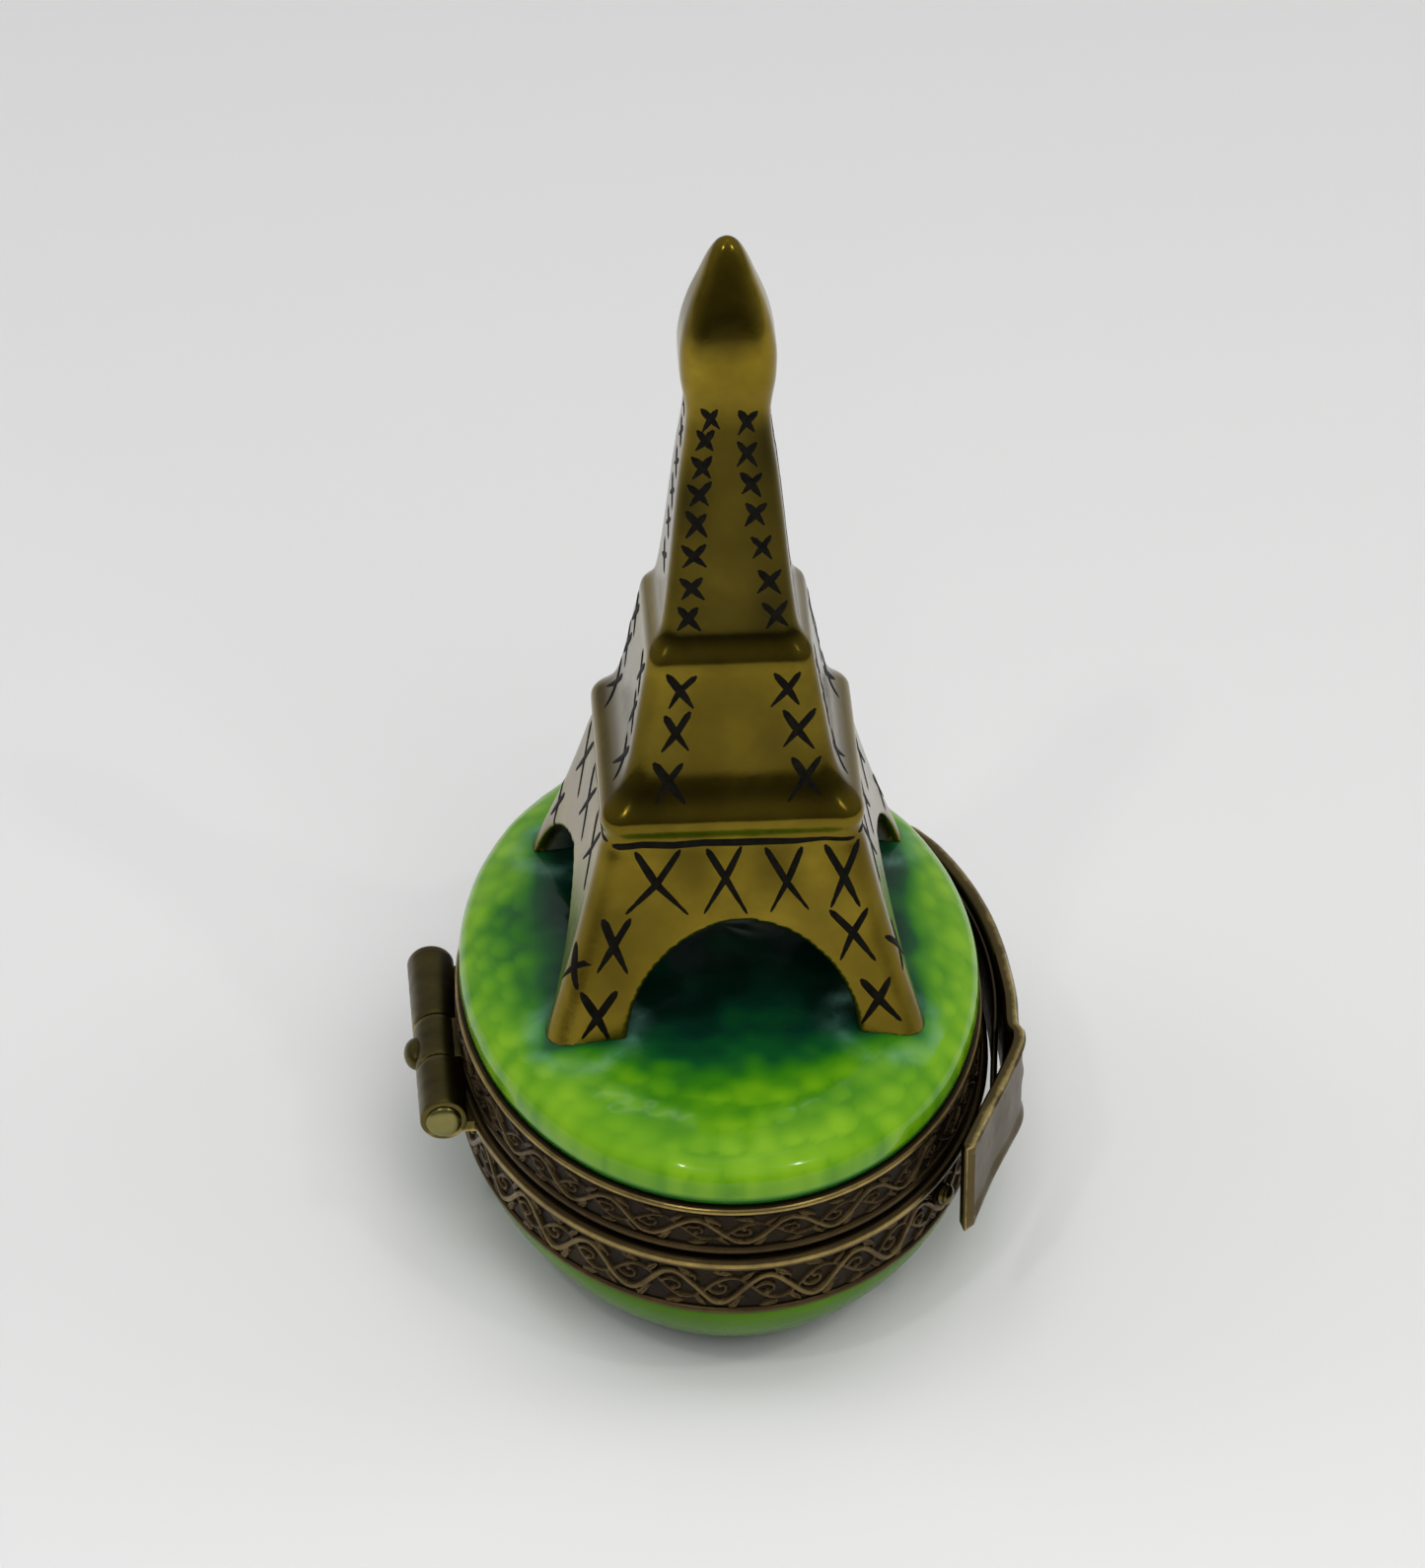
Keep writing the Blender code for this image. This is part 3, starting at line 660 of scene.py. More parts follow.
def gallery(name, z0, z1, a_ground, body, node, K, phase, back, gain=1.0):
    # equal steps of arc length round the oval
    t = np.linspace(0, TAU, 4001)
    ds = np.hypot(a_ground * np.sin(t), (a_ground + DB) * np.cos(t))
    s = np.concatenate([[0], np.cumsum((ds[1:] + ds[:-1]) / 2 * np.diff(t))])
    total = s[-1]
    n = int(total / 0.092)
    tt = np.interp(np.arange(n) * total / n, s, t)
    H = z1 - z0
    m = max(12, int(H / 0.088))
    zz = np.linspace(z0, z1, m)
    S, Z = np.meshgrid(np.arange(n) * total / n, zz, indexing="ij")
    P = total / K
    warp = 0.22 * (vnoise(S * 0.25 + 3, Z * 0.4) - 0.5)
    px = np.mod(S + phase * P + warp, P)
    py = (Z - z0) + 0.10 * (vnoise(S * 0.21 + 11, Z * 0.3 + 5) - 0.5)
    # in units of a 3.5 mm high, 7.1 mm long tile
    h = np.maximum(vine_tile(px * 7.1 / P, py * 3.5 / H, 7.1, 3.5), 0) * gain
    h *= 0.86 + 0.28 * vnoise(S * 0.9, Z * 1.1)
    h += 0.035 * (vnoise(S * 5.0, Z * 5.0) - 0.5)
    edge = np.clip(np.minimum(Z - z0, z1 - Z) / 0.12, 0, 1)
    h = h * edge
    A = a_ground + 0.05 + h
    A[:, 0] = A[:, -1] = a_ground
    T = np.repeat(tt[:, None], m, 1)
    outer = np.stack([A * np.cos(T), (A + DB) * np.sin(T), Z], -1)
    inner = np.stack([back * np.cos(tt), (back + DB) * np.sin(tt)], -1)
    lo = np.concatenate([inner, np.full((n, 1), z0)], 1)
    hi = np.concatenate([inner, np.full((n, 1), z1)], 1)
    v = np.concatenate([lo[:, None], outer, hi[:, None]], 1)
    mm = m + 2
    i, j = np.meshgrid(np.arange(n), np.arange(mm), indexing="ij")
    i2, j2 = (i + 1) % n, (j + 1) % mm
    f = np.stack([i * mm + j, i2 * mm + j, i2 * mm + j2, i * mm + j2], -1).reshape(-1, 4)
    hm = np.concatenate([np.zeros((n, 1)), h, np.zeros((n, 1))], 1)
    wear = np.clip(hm / 0.42, 0, 1) ** 0.8 * 0.70 + 0.06
    o = mesh_object(name, v.reshape(-1, 3), f, M_RELIEF, {"wear": wear.reshape(-1)})
    fix_normals(o)
    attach(o, body)
    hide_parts(node)
    return o


lowg = gallery("lower_vine_relief", 8.87, 12.49, 19.17, "base", "lower_gallery", 21, 0.30, 19.13)
upg = gallery("upper_vine_relief", 14.58, 17.29, 19.16, "lid", "upper_gallery", 21, 0.05, 19.13, 0.86)
for o in (low, upc, lowg, upg):
    hinge_notch(o)
    o.data.shade_smooth()
    o.data.set_sharp_from_angle(angle=math.radians(55))

# ---------------------------------------------------------------- hidden rings and the lip
for nm, node, pts, mat, body, sl in (
        ("base_plaster_bond", "base_bond_ring", [(18.2, 8.6), (18.55, 8.6), (18.55, 12.85), (18.2, 12.85)], M_PLASTER, "base", "plaster"),
        ("lid_plaster_bond", "lid_bond_ring", [(18.2, 14.85), (18.55, 14.85), (18.55, 17.9), (18.2, 17.9)], M_PLASTER, "lid", "plaster"),
        ("locating_lip", "closing_lip", [(16.95, 13.65), (17.35, 13.65), (17.33, 14.55), (17.2, 14.7), (17.05, 14.7), (16.95, 14.55)], M_HINGE, "base", "brass")):
    p = smooth_profile(pts, 0.05, 2)
    o = oval_hoop(nm, p, mat, n=240, attrs={"wear": np.where(p[:, 1] > 14.4, 0.8, 0.35)})
    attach(o, body)
    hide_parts(node)

# ---------------------------------------------------------------- lid
TX, TY, YAW = 0.55, -0.3, math.radians(-1.3)
ZW, DH, DP = 19.3, 4.1, 3.0


def tower_frame(x, y):
    dx, dy = x - TX, y - TY
    return dx * math.cos(YAW) + dy * math.sin(YAW), -dx * math.sin(YAW) + dy * math.cos(YAW)


def dome_z(rho):
    return ZW + DH * (1 - np.clip(rho, 0, 1) ** DP) ** (1 / DP)


rin = [0.2, 0.4, 0.6, 0.75, 0.85, 0.92, 0.965, 0.99, 1.0]
prof = [(0, 17.6 + 3.6)]
for r in rin:
    prof.append((NECK_IN * r, 17.6 + 3.6 * (1 - r ** DP) ** (1 / DP), (NECK_IN + DB) * r))
prof += [(NECK_IN, 16.2), (NECK_IN, 14.9), (16.5, 14.8), (18.05, 14.8), (NECK_A, 14.9), (NECK_A, 18.05), (18.4, 18.1), (18.85, 18.1), (19.0, 18.2), (19.08, 18.5), (19.14, 18.9)]
n_white = len(prof)
ks = np.linspace(0, 1, 54)
for k in ks:
    ang = k * math.pi / 2
    r = math.cos(ang) ** (2 / DP)
    z = ZW + DH * math.sin(ang) ** (2 / DP)
    if r > 0.012:
        prof.append((BOWL_A * r, z, (BOWL_A + DB) * r))
prof.append((0, ZW + DH))
prof = [(p[0], p[1], p[2] if len(p) > 2 else p[0] + DB) for p in prof]
mat_rows = [1 if i < 15 else 0 for i in range(len(prof) - 1)]


def lid_relief(X, Y, Z):
    k = np.clip((Z - 19.6) / 1.5, 0, 1)
    return k * (0.16 * (vnoise(X * 0.35 + 9, Y * 0.35 + 4) - 0.5) + 0.05 * (vnoise(X * 1.1 + 3, Y * 1.1) - 0.5))


lid = oval_skin("porcelain_lid", prof, [M_LID, M_WHITE], n=320, mat_rows=mat_rows, displace=lid_relief)
co = coords_of(lid)
h, v = tower_frame(co[:, 0], co[:, 1])
rho = np.hypot(co[:, 0] / BOWL_A, co[:, 1] / (BOWL_A + DB))
# distance outside the tower's footprint, and how deep under it
q = np.maximum(np.abs(h) - 13.4, np.abs(v - 0.7) - 13.0)
out = np.hypot(np.maximum(np.abs(h) - 13.4, 0), np.maximum(np.abs(v - 0.7) - 13.0, 0))
edge_noise = vnoise(co[:, 0] * 0.42 + 5, co[:, 1] * 0.42 + 8) - 0.5
dab_noise = vnoise(co[:, 0] * 0.75 + 1, co[:, 1] * 0.75 + 2) - 0.5
inside = np.clip(-q / 3.0, 0, 1)
front = np.clip((-v - 11.5) / 6.0, 0, 1) * np.clip(1 - np.abs(h) / 15.0, 0, 1)
front = np.clip((-v - 11.0) / 2.0, 0, 1) * np.clip(1.5 - np.abs(h) / 8.5, 0, 1)
reach = 1.8 + 6.0 * np.clip((-h - 8) / 4, 0, 1) * np.clip(1.25 - np.abs(v + 1.5) / 7, 0, 1) + 4.6 * front
shade = 0.34 + 0.44 * np.clip((out + 1.5 * edge_noise) / reach, 0, 1) ** 0.8
# Painted shade: darker under the tower and in a narrow band along its footprint.
shade = shade - 0.30 * inside - 0.08 * np.clip(1 - out / 1.0, 0, 1) - 0.16 * front * np.clip(1 - out / reach, 0, 1)
shade = shade + 0.16 * np.clip((rho - 0.80) / 0.15, 0, 1) + 0.20 * dab_noise * np.clip(out / 3, 0.2, 1)


def dabs(co):
    """Overlapping scalloped brush dabs, lighter at their lower rims."""
    val = np.zeros(len(co))
    rng = random.Random(11)
    for row, (rr, cnt) in enumerate(((0.97, 58), (0.90, 52), (0.82, 46), (0.74, 40))):
        for i in range(cnt):
            a = TAU * (i + 0.5 * (row % 2) + rng.uniform(-0.2, 0.2)) / cnt
            cx, cy = BOWL_A * rr * math.cos(a), (BOWL_A + DB) * rr * math.sin(a)
            size = rng.uniform(1.0, 1.7)
            ux, uy = math.cos(a), math.sin(a)
            dx, dy = co[:, 0] - cx, co[:, 1] - cy
            rad, tan = dx * ux + dy * uy, -dx * uy + dy * ux
            d = np.hypot(rad / 0.75, tan) / size
            k = np.clip(1 - d, 0, 1)
            val = np.maximum(val, np.where(d < 1, (0.35 + 0.65 * np.clip(rad / size + 0.3, 0, 1)) * k ** 0.4 * rng.uniform(0.45, 1.0), 0))
    return val


db = dabs(co)
shade = shade + 0.34 * (db - 0.42) * np.clip(out / 2.5, 0, 1)
shade = np.where(co[:, 2] < 18.7, 0.42, shade)
haze = np.zeros(len(co))
for sx, sy in ((-1, -1), (1, -1), (-1, 1), (1, 1)):
    d = np.hypot((h - sx * 11.0) / 3.9, (v - sy * 11.3) / 3.6)
    haze = np.maximum(haze, np.exp(-((d - 1.0) / 0.22) ** 2) * (0.35 + 0.65 * vnoise(h * 0.9 + 7, v * 0.9)))
haze *= 0.5 * np.clip((rho < 0.93) * 1.0, 0, 1)
shade = np.where(co[:, 2] > 18.7, shade, 0.42)
put_attr(lid, shade=np.clip(shade, 0, 1), haze=np.clip(haze, 0, 1))
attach(lid, "lid")
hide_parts("lid_dome")

# ---------------------------------------------------------------- tower
LEVELS = np.array([(20.8, 14.3, 13.9), (22.3, 13.85, 13.4), (25.5, 12.8, 12.5), (29.0, 11.7, 11.5), (33.0, 10.6, 10.35), (36.4, 9.75, 9.45),
                   (38.3, 9.3, 9.0), (38.7, 9.42, 9.1), (39.1, 9.55, 9.2), (39.7, 9.5, 9.15), (40.2, 9.15, 8.85), (40.8, 8.55, 8.35), (41.6, 8.0, 7.9), (42.6, 7.6, 7.5), (43.8, 7.3, 7.2),
                   (46.5, 6.8, 6.7), (49.0, 6.35, 6.2), (50.7, 6.05, 5.9), (51.4, 5.95, 5.8), (51.8, 5.75, 5.55), (52.2, 5.4, 5.2), (52.8, 5.05, 4.85),
                   (55.0, 4.65, 4.45), (58.0, 4.3, 4.05), (61.5, 3.95, 3.65), (65.5, 3.5, 3.2), (68.5, 3.1, 2.9), (70.0, 3.0, 2.8),
                   (71.3, 3.15, 2.95), (73.0, 3.4, 3.3), (74.6, 3.45, 3.4), (76.3, 3.25, 3.2), (78.3, 2.75, 2.7), (80.2, 2.05, 2.0),
                   (82.0, 1.35, 1.3), (83.0, 0.80, 0.77), (83.35, 0.5, 0.48), (83.48, 0.2, 0.2)])


def back_shift(z):
    """The feet spread a little further back than forwards."""
    return 0.7 * min(1.0, max(0.0, (38.0 - z) / 16.0))


def flow(x, xs, ys):
    """A monotone cubic through the levels, so the tiers carry no creases."""
    x = np.clip(np.asarray(x, float), xs[0], xs[-1])
    h = np.diff(xs)
    d = np.diff(ys) / h
    m = np.zeros(len(xs))
    m[0], m[-1] = d[0], d[-1]
    for k in range(1, len(xs) - 1):
        if d[k - 1] * d[k] > 0:
            w1, w2 = 2 * h[k] + h[k - 1], h[k] + 2 * h[k - 1]
            m[k] = (w1 + w2) / (w1 / d[k - 1] + w2 / d[k])
    i = np.clip(np.searchsorted(xs, x, side="right") - 1, 0, len(xs) - 2)
    t = (x - xs[i]) / h[i]
    return ((1 + 2 * t) * (1 - t) ** 2 * ys[i] + t * (1 - t) ** 2 * h[i] * m[i]
            + t * t * (3 - 2 * t) * ys[i + 1] + t * t * (t - 1) * h[i] * m[i + 1])


def width_at(z):
    return flow(z, LEVELS[:, 0], LEVELS[:, 1]), flow(z, LEVELS[:, 0], LEVELS[:, 2])


def corner_share(z):
    """Corner rounding, soft on the bud and crisper on the tiers."""
    return float(np.interp(z, (20, 40, 53, 58, 68, 72, 76, 84), (0.14, 0.18, 0.22, 0.26, 0.36, 0.5, 0.62, 0.8)))


def tower_point(h, v, z):
    return (TX + h * math.cos(YAW) - v * math.sin(YAW), TY + h * math.sin(YAW) + v * math.cos(YAW), z)


def tower_mesh(name, levels, share=None):
    vs, fs = [], []
    K = 7
    for z, wx, wy in levels:
        c = (share or corner_share(z)) * min(wx, wy)
        for sx, sy, st in ((1, 1, 0), (-1, 1, 90), (-1, -1, 180), (1, -1, 270)):
            for k in range(K):
                t = math.radians(st + 90 * k / (K - 1))
                vs.append(tower_point(sx * (wx - c) + c * math.cos(t), back_shift(z) + sy * (wy - c) + c * math.sin(t), z))
    R = 4 * K
    for k in range(len(levels) - 1):
        for i in range(R):
            j = (i + 1) % R
            fs.append((k * R + i, k * R + j, (k + 1) * R + j, (k + 1) * R + i))
    fs.append(tuple(range(R))[::-1])
    fs.append(tuple(range((len(levels) - 1) * R, len(levels) * R)))
    o = mesh_object(name, vs, fs, [M_GOLD], smooth=False)
    fix_normals(o)
    return o


def tunnel(half, base, rise, along_y, offset, power=1.0):
    prof = [(half + 0.25, base - 4)] + [(half * abs(math.cos(math.pi * i / 40)) ** power * (1 if i < 20 else -1), base + rise * math.sin(math.pi * i / 40)) for i in range(41)] + [(-half - 0.25, base - 4)]
    vs = []
    for s in (-22, 22):
        for hh, z in prof:
            vs.append(tower_point(hh + offset, s, z) if along_y else tower_point(s, hh + offset, z))
    n = len(prof)
    fs = [(i, (i + 1) % n, n + (i + 1) % n, n + i) for i in range(n)] + [tuple(range(n))[::-1], tuple(range(n, 2 * n))]
    o = mesh_object("tunnel", vs, fs, [], smooth=False)
    fix_normals(o)
    return o


# the levels are rounded off by a spline before the loft
zs = np.linspace(20.8, 83.48, 420)
wx, wy = width_at(zs)
kern = np.array([1, 2, 1]) / 4
for _ in range(6):
    wx[1:-1] = np.convolve(wx, kern, "valid")
    wy[1:-1] = np.convolve(wy, kern, "valid")
tower = tower_mesh("gilded_tower", list(zip(zs, wx, wy)))
boolean(tower, tunnel(8.4, 22.3, 9.4, True, 0.5, 1.1))
boolean(tower, tunnel(10.4, 22.3, 8.4, False, 0.55, 1.6))
hollow = tower_mesh("hollow", [(36.6, 5.2, 5.0), (41.5, 5.2, 4.8), (50.5, 3.7, 3.4), (54.0, 2.7, 2.3), (64.0, 1.4, 1.1)], 0.2)
boolean(tower, hollow)
vent = y_cylinder("vent", [(1.8, 0.0), (1.8, 8.0)], seg=32, x=0, z=0)
vent.data.transform(Matrix.Translation(Vector((TX, TY, 30.0)) * MM) @ Matrix.Rotation(math.radians(90), 4, "X"))
boolean(tower, vent)
rm = tower.modifiers.new("remesh", "REMESH")
rm.mode, rm.voxel_size, rm.use_smooth_shade = "VOXEL", 0.13 * MM, True
sm = tower.modifiers.new("smooth", "SMOOTH")
sm.factor, sm.iterations = 0.5, 34
bpy.context.view_layer.update()
modifier_apply(tower)
# feet are cut to sit in the glaze of the dome
vs, fs = [], []
R = 160
rings = [(BOWL_A, 15.0, BOWL_A + DB)] + [(BOWL_A * math.cos(k * math.pi / 2) ** (2 / DP), ZW + 0.02 + DH * math.sin(k * math.pi / 2) ** (2 / DP), (BOWL_A + DB) * math.cos(k * math.pi / 2) ** (2 / DP)) for k in np.linspace(0, 0.97, 30)]
for a, z, b in rings:
    for i in range(R):
        vs.append((a * math.cos(TAU * i / R), b * math.sin(TAU * i / R), z))
for k in range(len(rings) - 1):
    for i in range(R):
        j = (i + 1) % R
        fs.append((k * R + i, k * R + j, (k + 1) * R + j, (k + 1) * R + i))
fs += [tuple(range(R))[::-1], tuple(range((len(rings) - 1) * R, len(rings) * R))]
dome_cut = mesh_object("dome_cut", vs, fs, [], smooth=False)
fix_normals(dome_cut)
boolean(tower, dome_cut)
tower.data.materials.clear()
tower.data.materials.append(M_GOLD)
tower.data.shade_smooth()
co = coords_of(tower)
h, v = tower_frame(co[:, 0], co[:, 1])
gx, gy = width_at(co[:, 2])
shift = 0.7 * np.clip((38.0 - co[:, 2]) / 16.0, 0, 1)
gap = np.minimum(gx - np.abs(h), gy - np.abs(v - shift))
skin = 1 - np.clip((gap - 0.75) / 0.5, 0, 1)
skin = np.where(co[:, 2] > 45, 1.0, skin)
# Painted shade: the vault grows darker further in.
under = np.clip((gap - 1.2) / 2.0, 0, 1)
z = co[:, 2]
# Painted shade in the concave fillets above the ledges at 41.5 and 53 mm.
groove = 0.45 * np.exp(-((z - 41.5) / 0.6) ** 2) + 0.45 * np.exp(-((z - 53.0) / 0.4) ** 2)
groove = np.where(gap < 1.2, groove, 0) * (0.6 + 0.5 * vnoise(h * 0.8, z * 0.5))
# Painted reflection: dark and light bands by height, with the side faces lighter above 52 mm, stand in for the dark and
# bright surroundings mirrored in the gold.
tone = np.interp(z, (22, 30, 37, 39, 41, 44, 48, 50.5, 51.5, 53, 60, 69, 72, 75, 77, 84), (0.80, 0.66, 0.60, 0.80, 0.46, 0.46, 0.58, 0.80, 0.55, 0.16, 0.13, 0.24, 1.0, 0.95, 0.42, 0.60))
tone = tone + 0.46 * (vnoise(h * 0.33 + 4, z * 0.22 + 9) - 0.5)
front_face = np.clip((-v - 0.80 * gy) / (0.15 * gy), 0, 1)
tone = np.where(z > 52, tone + (1 - front_face) * 0.30, tone)
put_attr(tower, skin=skin, deep=under, groove=np.clip(groove, 0, 1), tone=np.clip(tone, 0.05, 1))
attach(tower, "lid")
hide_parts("tower")

# ---------------------------------------------------------------- painted crosses
bm = bmesh.new()
bm.from_mesh(tower.data)
tree = BVHTree.FromBMesh(bm)
bm.free()


def face_ray(side, s, z):
    """Where the brush meets the face: side 0 front, 1 right, 2 back, 3 left; s runs to the right as seen from outside."""
    far = 40
    if side == 0:
        o, d = tower_point(s, -far, z), (0, 1)
    elif side == 2:
        o, d = tower_point(-s, far, z), (0, -1)
    elif side == 1:
        o, d = tower_point(far, s, z), (-1, 0)
    else:
        o, d = tower_point(-far, -s, z), (1, 0)
    dx = d[0] * math.cos(YAW) - d[1] * math.sin(YAW)
    dy = d[0] * math.sin(YAW) + d[1] * math.cos(YAW)
    hit, nrm, _, _ = tree.ray_cast(Vector(o) * MM, Vector((dx, dy, 0)))
    return (None, None) if hit is None else (np.array(hit) / MM, np.array(nrm))


paint_v, paint_f = [], []
prng = random.Random(5)


def brush(side, pts, width, lift=0.05):
    width = width * 1.28
    """A stroke of enamel through face points (s, z), with a soft swell and lifted middle."""
    pts = [np.array(p, float) for p in pts]
    # resample along the line
    path = []
    for a, b in zip(pts[:-1], pts[1:]):
        n = max(3, int(np.hypot(*(b - a)) / 0.16))
        for k in range(n):
            path.append(a + (b - a) * k / n)
    path.append(pts[-1])
    L = len(path)
    swell = [prng.uniform(0.85, 1.15) for _ in range(4)]
    rows = []
    for i, p in enumerate(path):
        f = i / (L - 1)
        t = path[min(i + 1, L - 1)] - path[max(i - 1, 0)]
        t = t / (np.hypot(*t) + 1e-9)
        nrm2 = np.array([-t[1], t[0]])
        w = width * (0.5 + 0.5 * math.sin(math.pi * min(1, 0.12 + f * 1.05)) ** 0.6) * np.interp(f, (0, .33, .66, 1), swell)
        end = min(1, f * L / 2.2, (1 - f) * L / 2.2)
        w *= max(0.25, end) ** 0.5
        row = []
        for u, hgt in ((-1, -0.03), (-0.8, 0.55), (-0.4, 0.92), (0, 1.0), (0.4, 0.92), (0.8, 0.55), (1, -0.03)):
            q = p + nrm2 * u * w / 2
            hit, nr = face_ray(side, q[0], q[1])
            if hit is None or (rows and np.linalg.norm(hit - rows[-1][len(row)]) > 1.2):
                row = None
                break
            k = hgt * lift * max(0.05, end) if hgt > 0 else -0.06
            row.append(hit + nr * k)
        if row is not None:
            rows.append(row)
    if len(rows) < 5:
        return
    rows = [rows[0]] + rows + [rows[-1]]
    rows[0] = [r * 1.0 for r in rows[0]]
    base = len(paint_v)
    m = len(rows[0])
    # sink the first and last row into the surface
    for e in (0, -1):
        inner = rows[1] if e == 0 else rows[-2]
        mid = inner[m // 2]
        rows[e] = [r + (mid - r) * 0.25 for r in inner]
        hit_dir = (np.cross(inner[-1] - inner[0], (rows[2][m // 2] - inner[m // 2]) if e == 0 else (inner[m // 2] - rows[-3][m // 2])))
        hit_dir = hit_dir / (np.linalg.norm(hit_dir) + 1e-9)
        outward = inner[m // 2] - (inner[0] + inner[-1]) / 2
        if np.dot(hit_dir, outward) < 0:
            hit_dir = -hit_dir
        rows[e] = [r - hit_dir * 0.08 for r in rows[e]]
    for row in rows:
        paint_v.extend(row)
    n = len(rows)
    for i in range(n - 1):
        for j in range(m - 1):
            paint_f.append((base + i * m + j, base + i * m + j + 1, base + (i + 1) * m + j + 1, base + (i + 1) * m + j))
        paint_f.append((base + i * m + m - 1, base + i * m, base + (i + 1) * m, base + (i + 1) * m + m - 1))
    paint_f.append(tuple(base + j for j in range(m))[::-1])
    paint_f.append(tuple(base + (n - 1) * m + j for j in range(m)))


def cross(side, s, z, w, hgt, width, lean=0.0):
    """Two crossed strokes; each end wanders a little."""
    r = lambda k: prng.uniform(-k, k)
    a = [(s - w / 2 + r(.10 * w), z + hgt / 2 + r(.08 * hgt)), (s + r(.06 * w) + lean * 0.5, z + r(.05 * hgt)), (s + w / 2 + lean + r(.10 * w), z - hgt / 2 + r(.08 * hgt))]
    b = [(s + w / 2 + r(.10 * w), z + hgt / 2 + r(.08 * hgt)), (s + r(.06 * w) + lean * 0.5, z + r(.05 * hgt)), (s - w / 2 + lean + r(.10 * w), z - hgt / 2 + r(.08 * hgt))]
    brush(side, a, width * prng.uniform(0.9, 1.15))
    brush(side, b, width * prng.uniform(0.8, 1.05))


FRONT_LEFT = ((-1.36, 70.1), (-1.66, 68.4), (-1.88, 66.3), (-2.10, 64.1), (-2.28, 61.8), (-2.50, 59.2), (-2.74, 56.7), (-2.96, 54.3))
FRONT_RIGHT = ((1.22, 69.8), (1.26, 67.3), (1.55, 64.9), (1.84, 62.5), (2.28, 59.8), (2.76, 57.1), (3.25, 54.4))


def tall_cross(side, top_l, top_r, low_l, low_r, z1, z0, width):
    """Two long strokes that cross, given their ends at both heights."""
    r = lambda k: prng.uniform(-k, k)
    mid = (top_l + top_r + low_l + low_r) / 4
    zc = (z1 + z0) / 2 + r(.2)
    brush(side, [(top_l, z1 + r(.1)), (mid + r(.1), zc), (low_r, z0 + r(.2))], width * prng.uniform(0.95, 1.15))
    brush(side, [(top_r, z1 + r(.1)), (mid + r(.1), zc), (low_l, z0 + r(.2))], width * prng.uniform(0.8, 1.0))


for side in range(4):
    flip = -1 if side in (2, 3) else 1
    side_face = side in (1, 3)
    # shaft
    if side_face:
        for z0 in (69.9, 67.4, 64.9, 62.3, 59.6, 56.8):
            half = width_at(z0)[1]
            cross(side, prng.uniform(-.15, .15), z0, half * 0.62, 1.7, 0.46)
    else:
        for cols in (FRONT_LEFT, FRONT_RIGHT):
            for s0, z0 in cols:
                half = width_at(z0)[0]
                cross(side, flip * s0, z0, 0.19 * half + 0.72, 1.85, 0.50)
    # middle tier
    for z0, sl, sr, w0, h0 in ((49.2, -3.6, 3.95, 2.0, 2.7), (46.0, -3.97, 4.84, 2.0, 2.9), (42.4, -4.6, 5.2, 2.2, 2.9)):
        k = 0.95 if side_face else 1.0
        for s0 in (sl, sr):
            cross(side, flip * s0 * k, z0, w0, h0, 0.56)
    # line under the ledge
    half = (width_at(37.8)[1] if side_face else width_at(37.8)[0]) - 0.62
    line = [(-half + 2 * half * k / 8, 37.80 + prng.uniform(-0.12, 0.12)) for k in range(9)]
    brush(side, line, 0.56)
    # band of tall crosses over the arch
    off = 0.5 * flip if not side_face else 0.0
    if side_face:
        for s0 in (-5.6, -0.2, 5.4):
            tall_cross(side, s0 - 1.5, s0 + 1.4, s0 - 1.7, s0 + 1.7, 37.4, 32.6, 0.50)
    else:
        for l1, r1, l0, r0 in ((-7.1, -3.85, -7.85, -3.35), (-1.95, 0.55, -2.2, 0.9), (2.25, 4.9, 2.6, 5.35), (6.55, 9.0, 6.95, 9.05)):
            e = (l1, r1, l0, r0) if flip > 0 else (-r1, -l1, -r0, -l0)
            tall_cross(side, *e, 37.4, 32.5, 0.52)
    # legs: an upper and a lower cross on each
    if side_face:
        for sg in (-1, 1):
            cross(side, sg * 9.9 + 0.5, 28.2, 1.9, 3.2, 0.52)
    else:
        for l1, r1, l0, r0, z1, z0 in ((-9.5, -7.5, -10.0, -7.8, 32.3, 28.2), (-11.2, -8.6, -11.2, -9.2, 26.7, 23.1),
                                       (6.85, 9.6, 7.6, 10.15, 32.4, 28.4), (9.05, 11.2, 9.1, 12.0, 26.9, 23.7)):
            e = (l1, r1, l0, r0) if flip > 0 else (-r1, -l1, -r0, -l0)
            tall_cross(side, *e, z1, z0, 0.58)
paint = mesh_object("painted_crosses", paint_v, paint_f, M_BLACK)
fix_normals(paint)
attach(paint, "lid")

# ---------------------------------------------------------------- hinge
HX, HZ, KR = -20.95, 13.75, 1.75
KY = (-9.5, -3.7, 1.2, 9.5)


def leaf_block(name, y0, y1, z0, z1, a_stop, x_in=-20.6):
    """A solder leaf from the barrel to its collar, its far edge following the oval."""
    vs, fs = [], []
    n = 24
    for k in range(n + 1):
        y = y0 + (y1 - y0) * k / n
        xs = -a_stop * math.sqrt(max(0, 1 - (y / (a_stop + DB)) ** 2)) + 0.35
        for x, z in ((x_in, z0), (xs, z0), (xs, z1), (x_in, z1)):
            vs.append((x, y, z))
    for k in range(n):
        for i in range(4):
            j = (i + 1) % 4
            fs.append((k * 4 + i, k * 4 + j, (k + 1) * 4 + j, (k + 1) * 4 + i))
    fs += [(0, 1, 2, 3), tuple(n * 4 + i for i in range(4))]
    o = mesh_object(name, vs, fs, [], smooth=False)
    fix_normals(o)
    return o


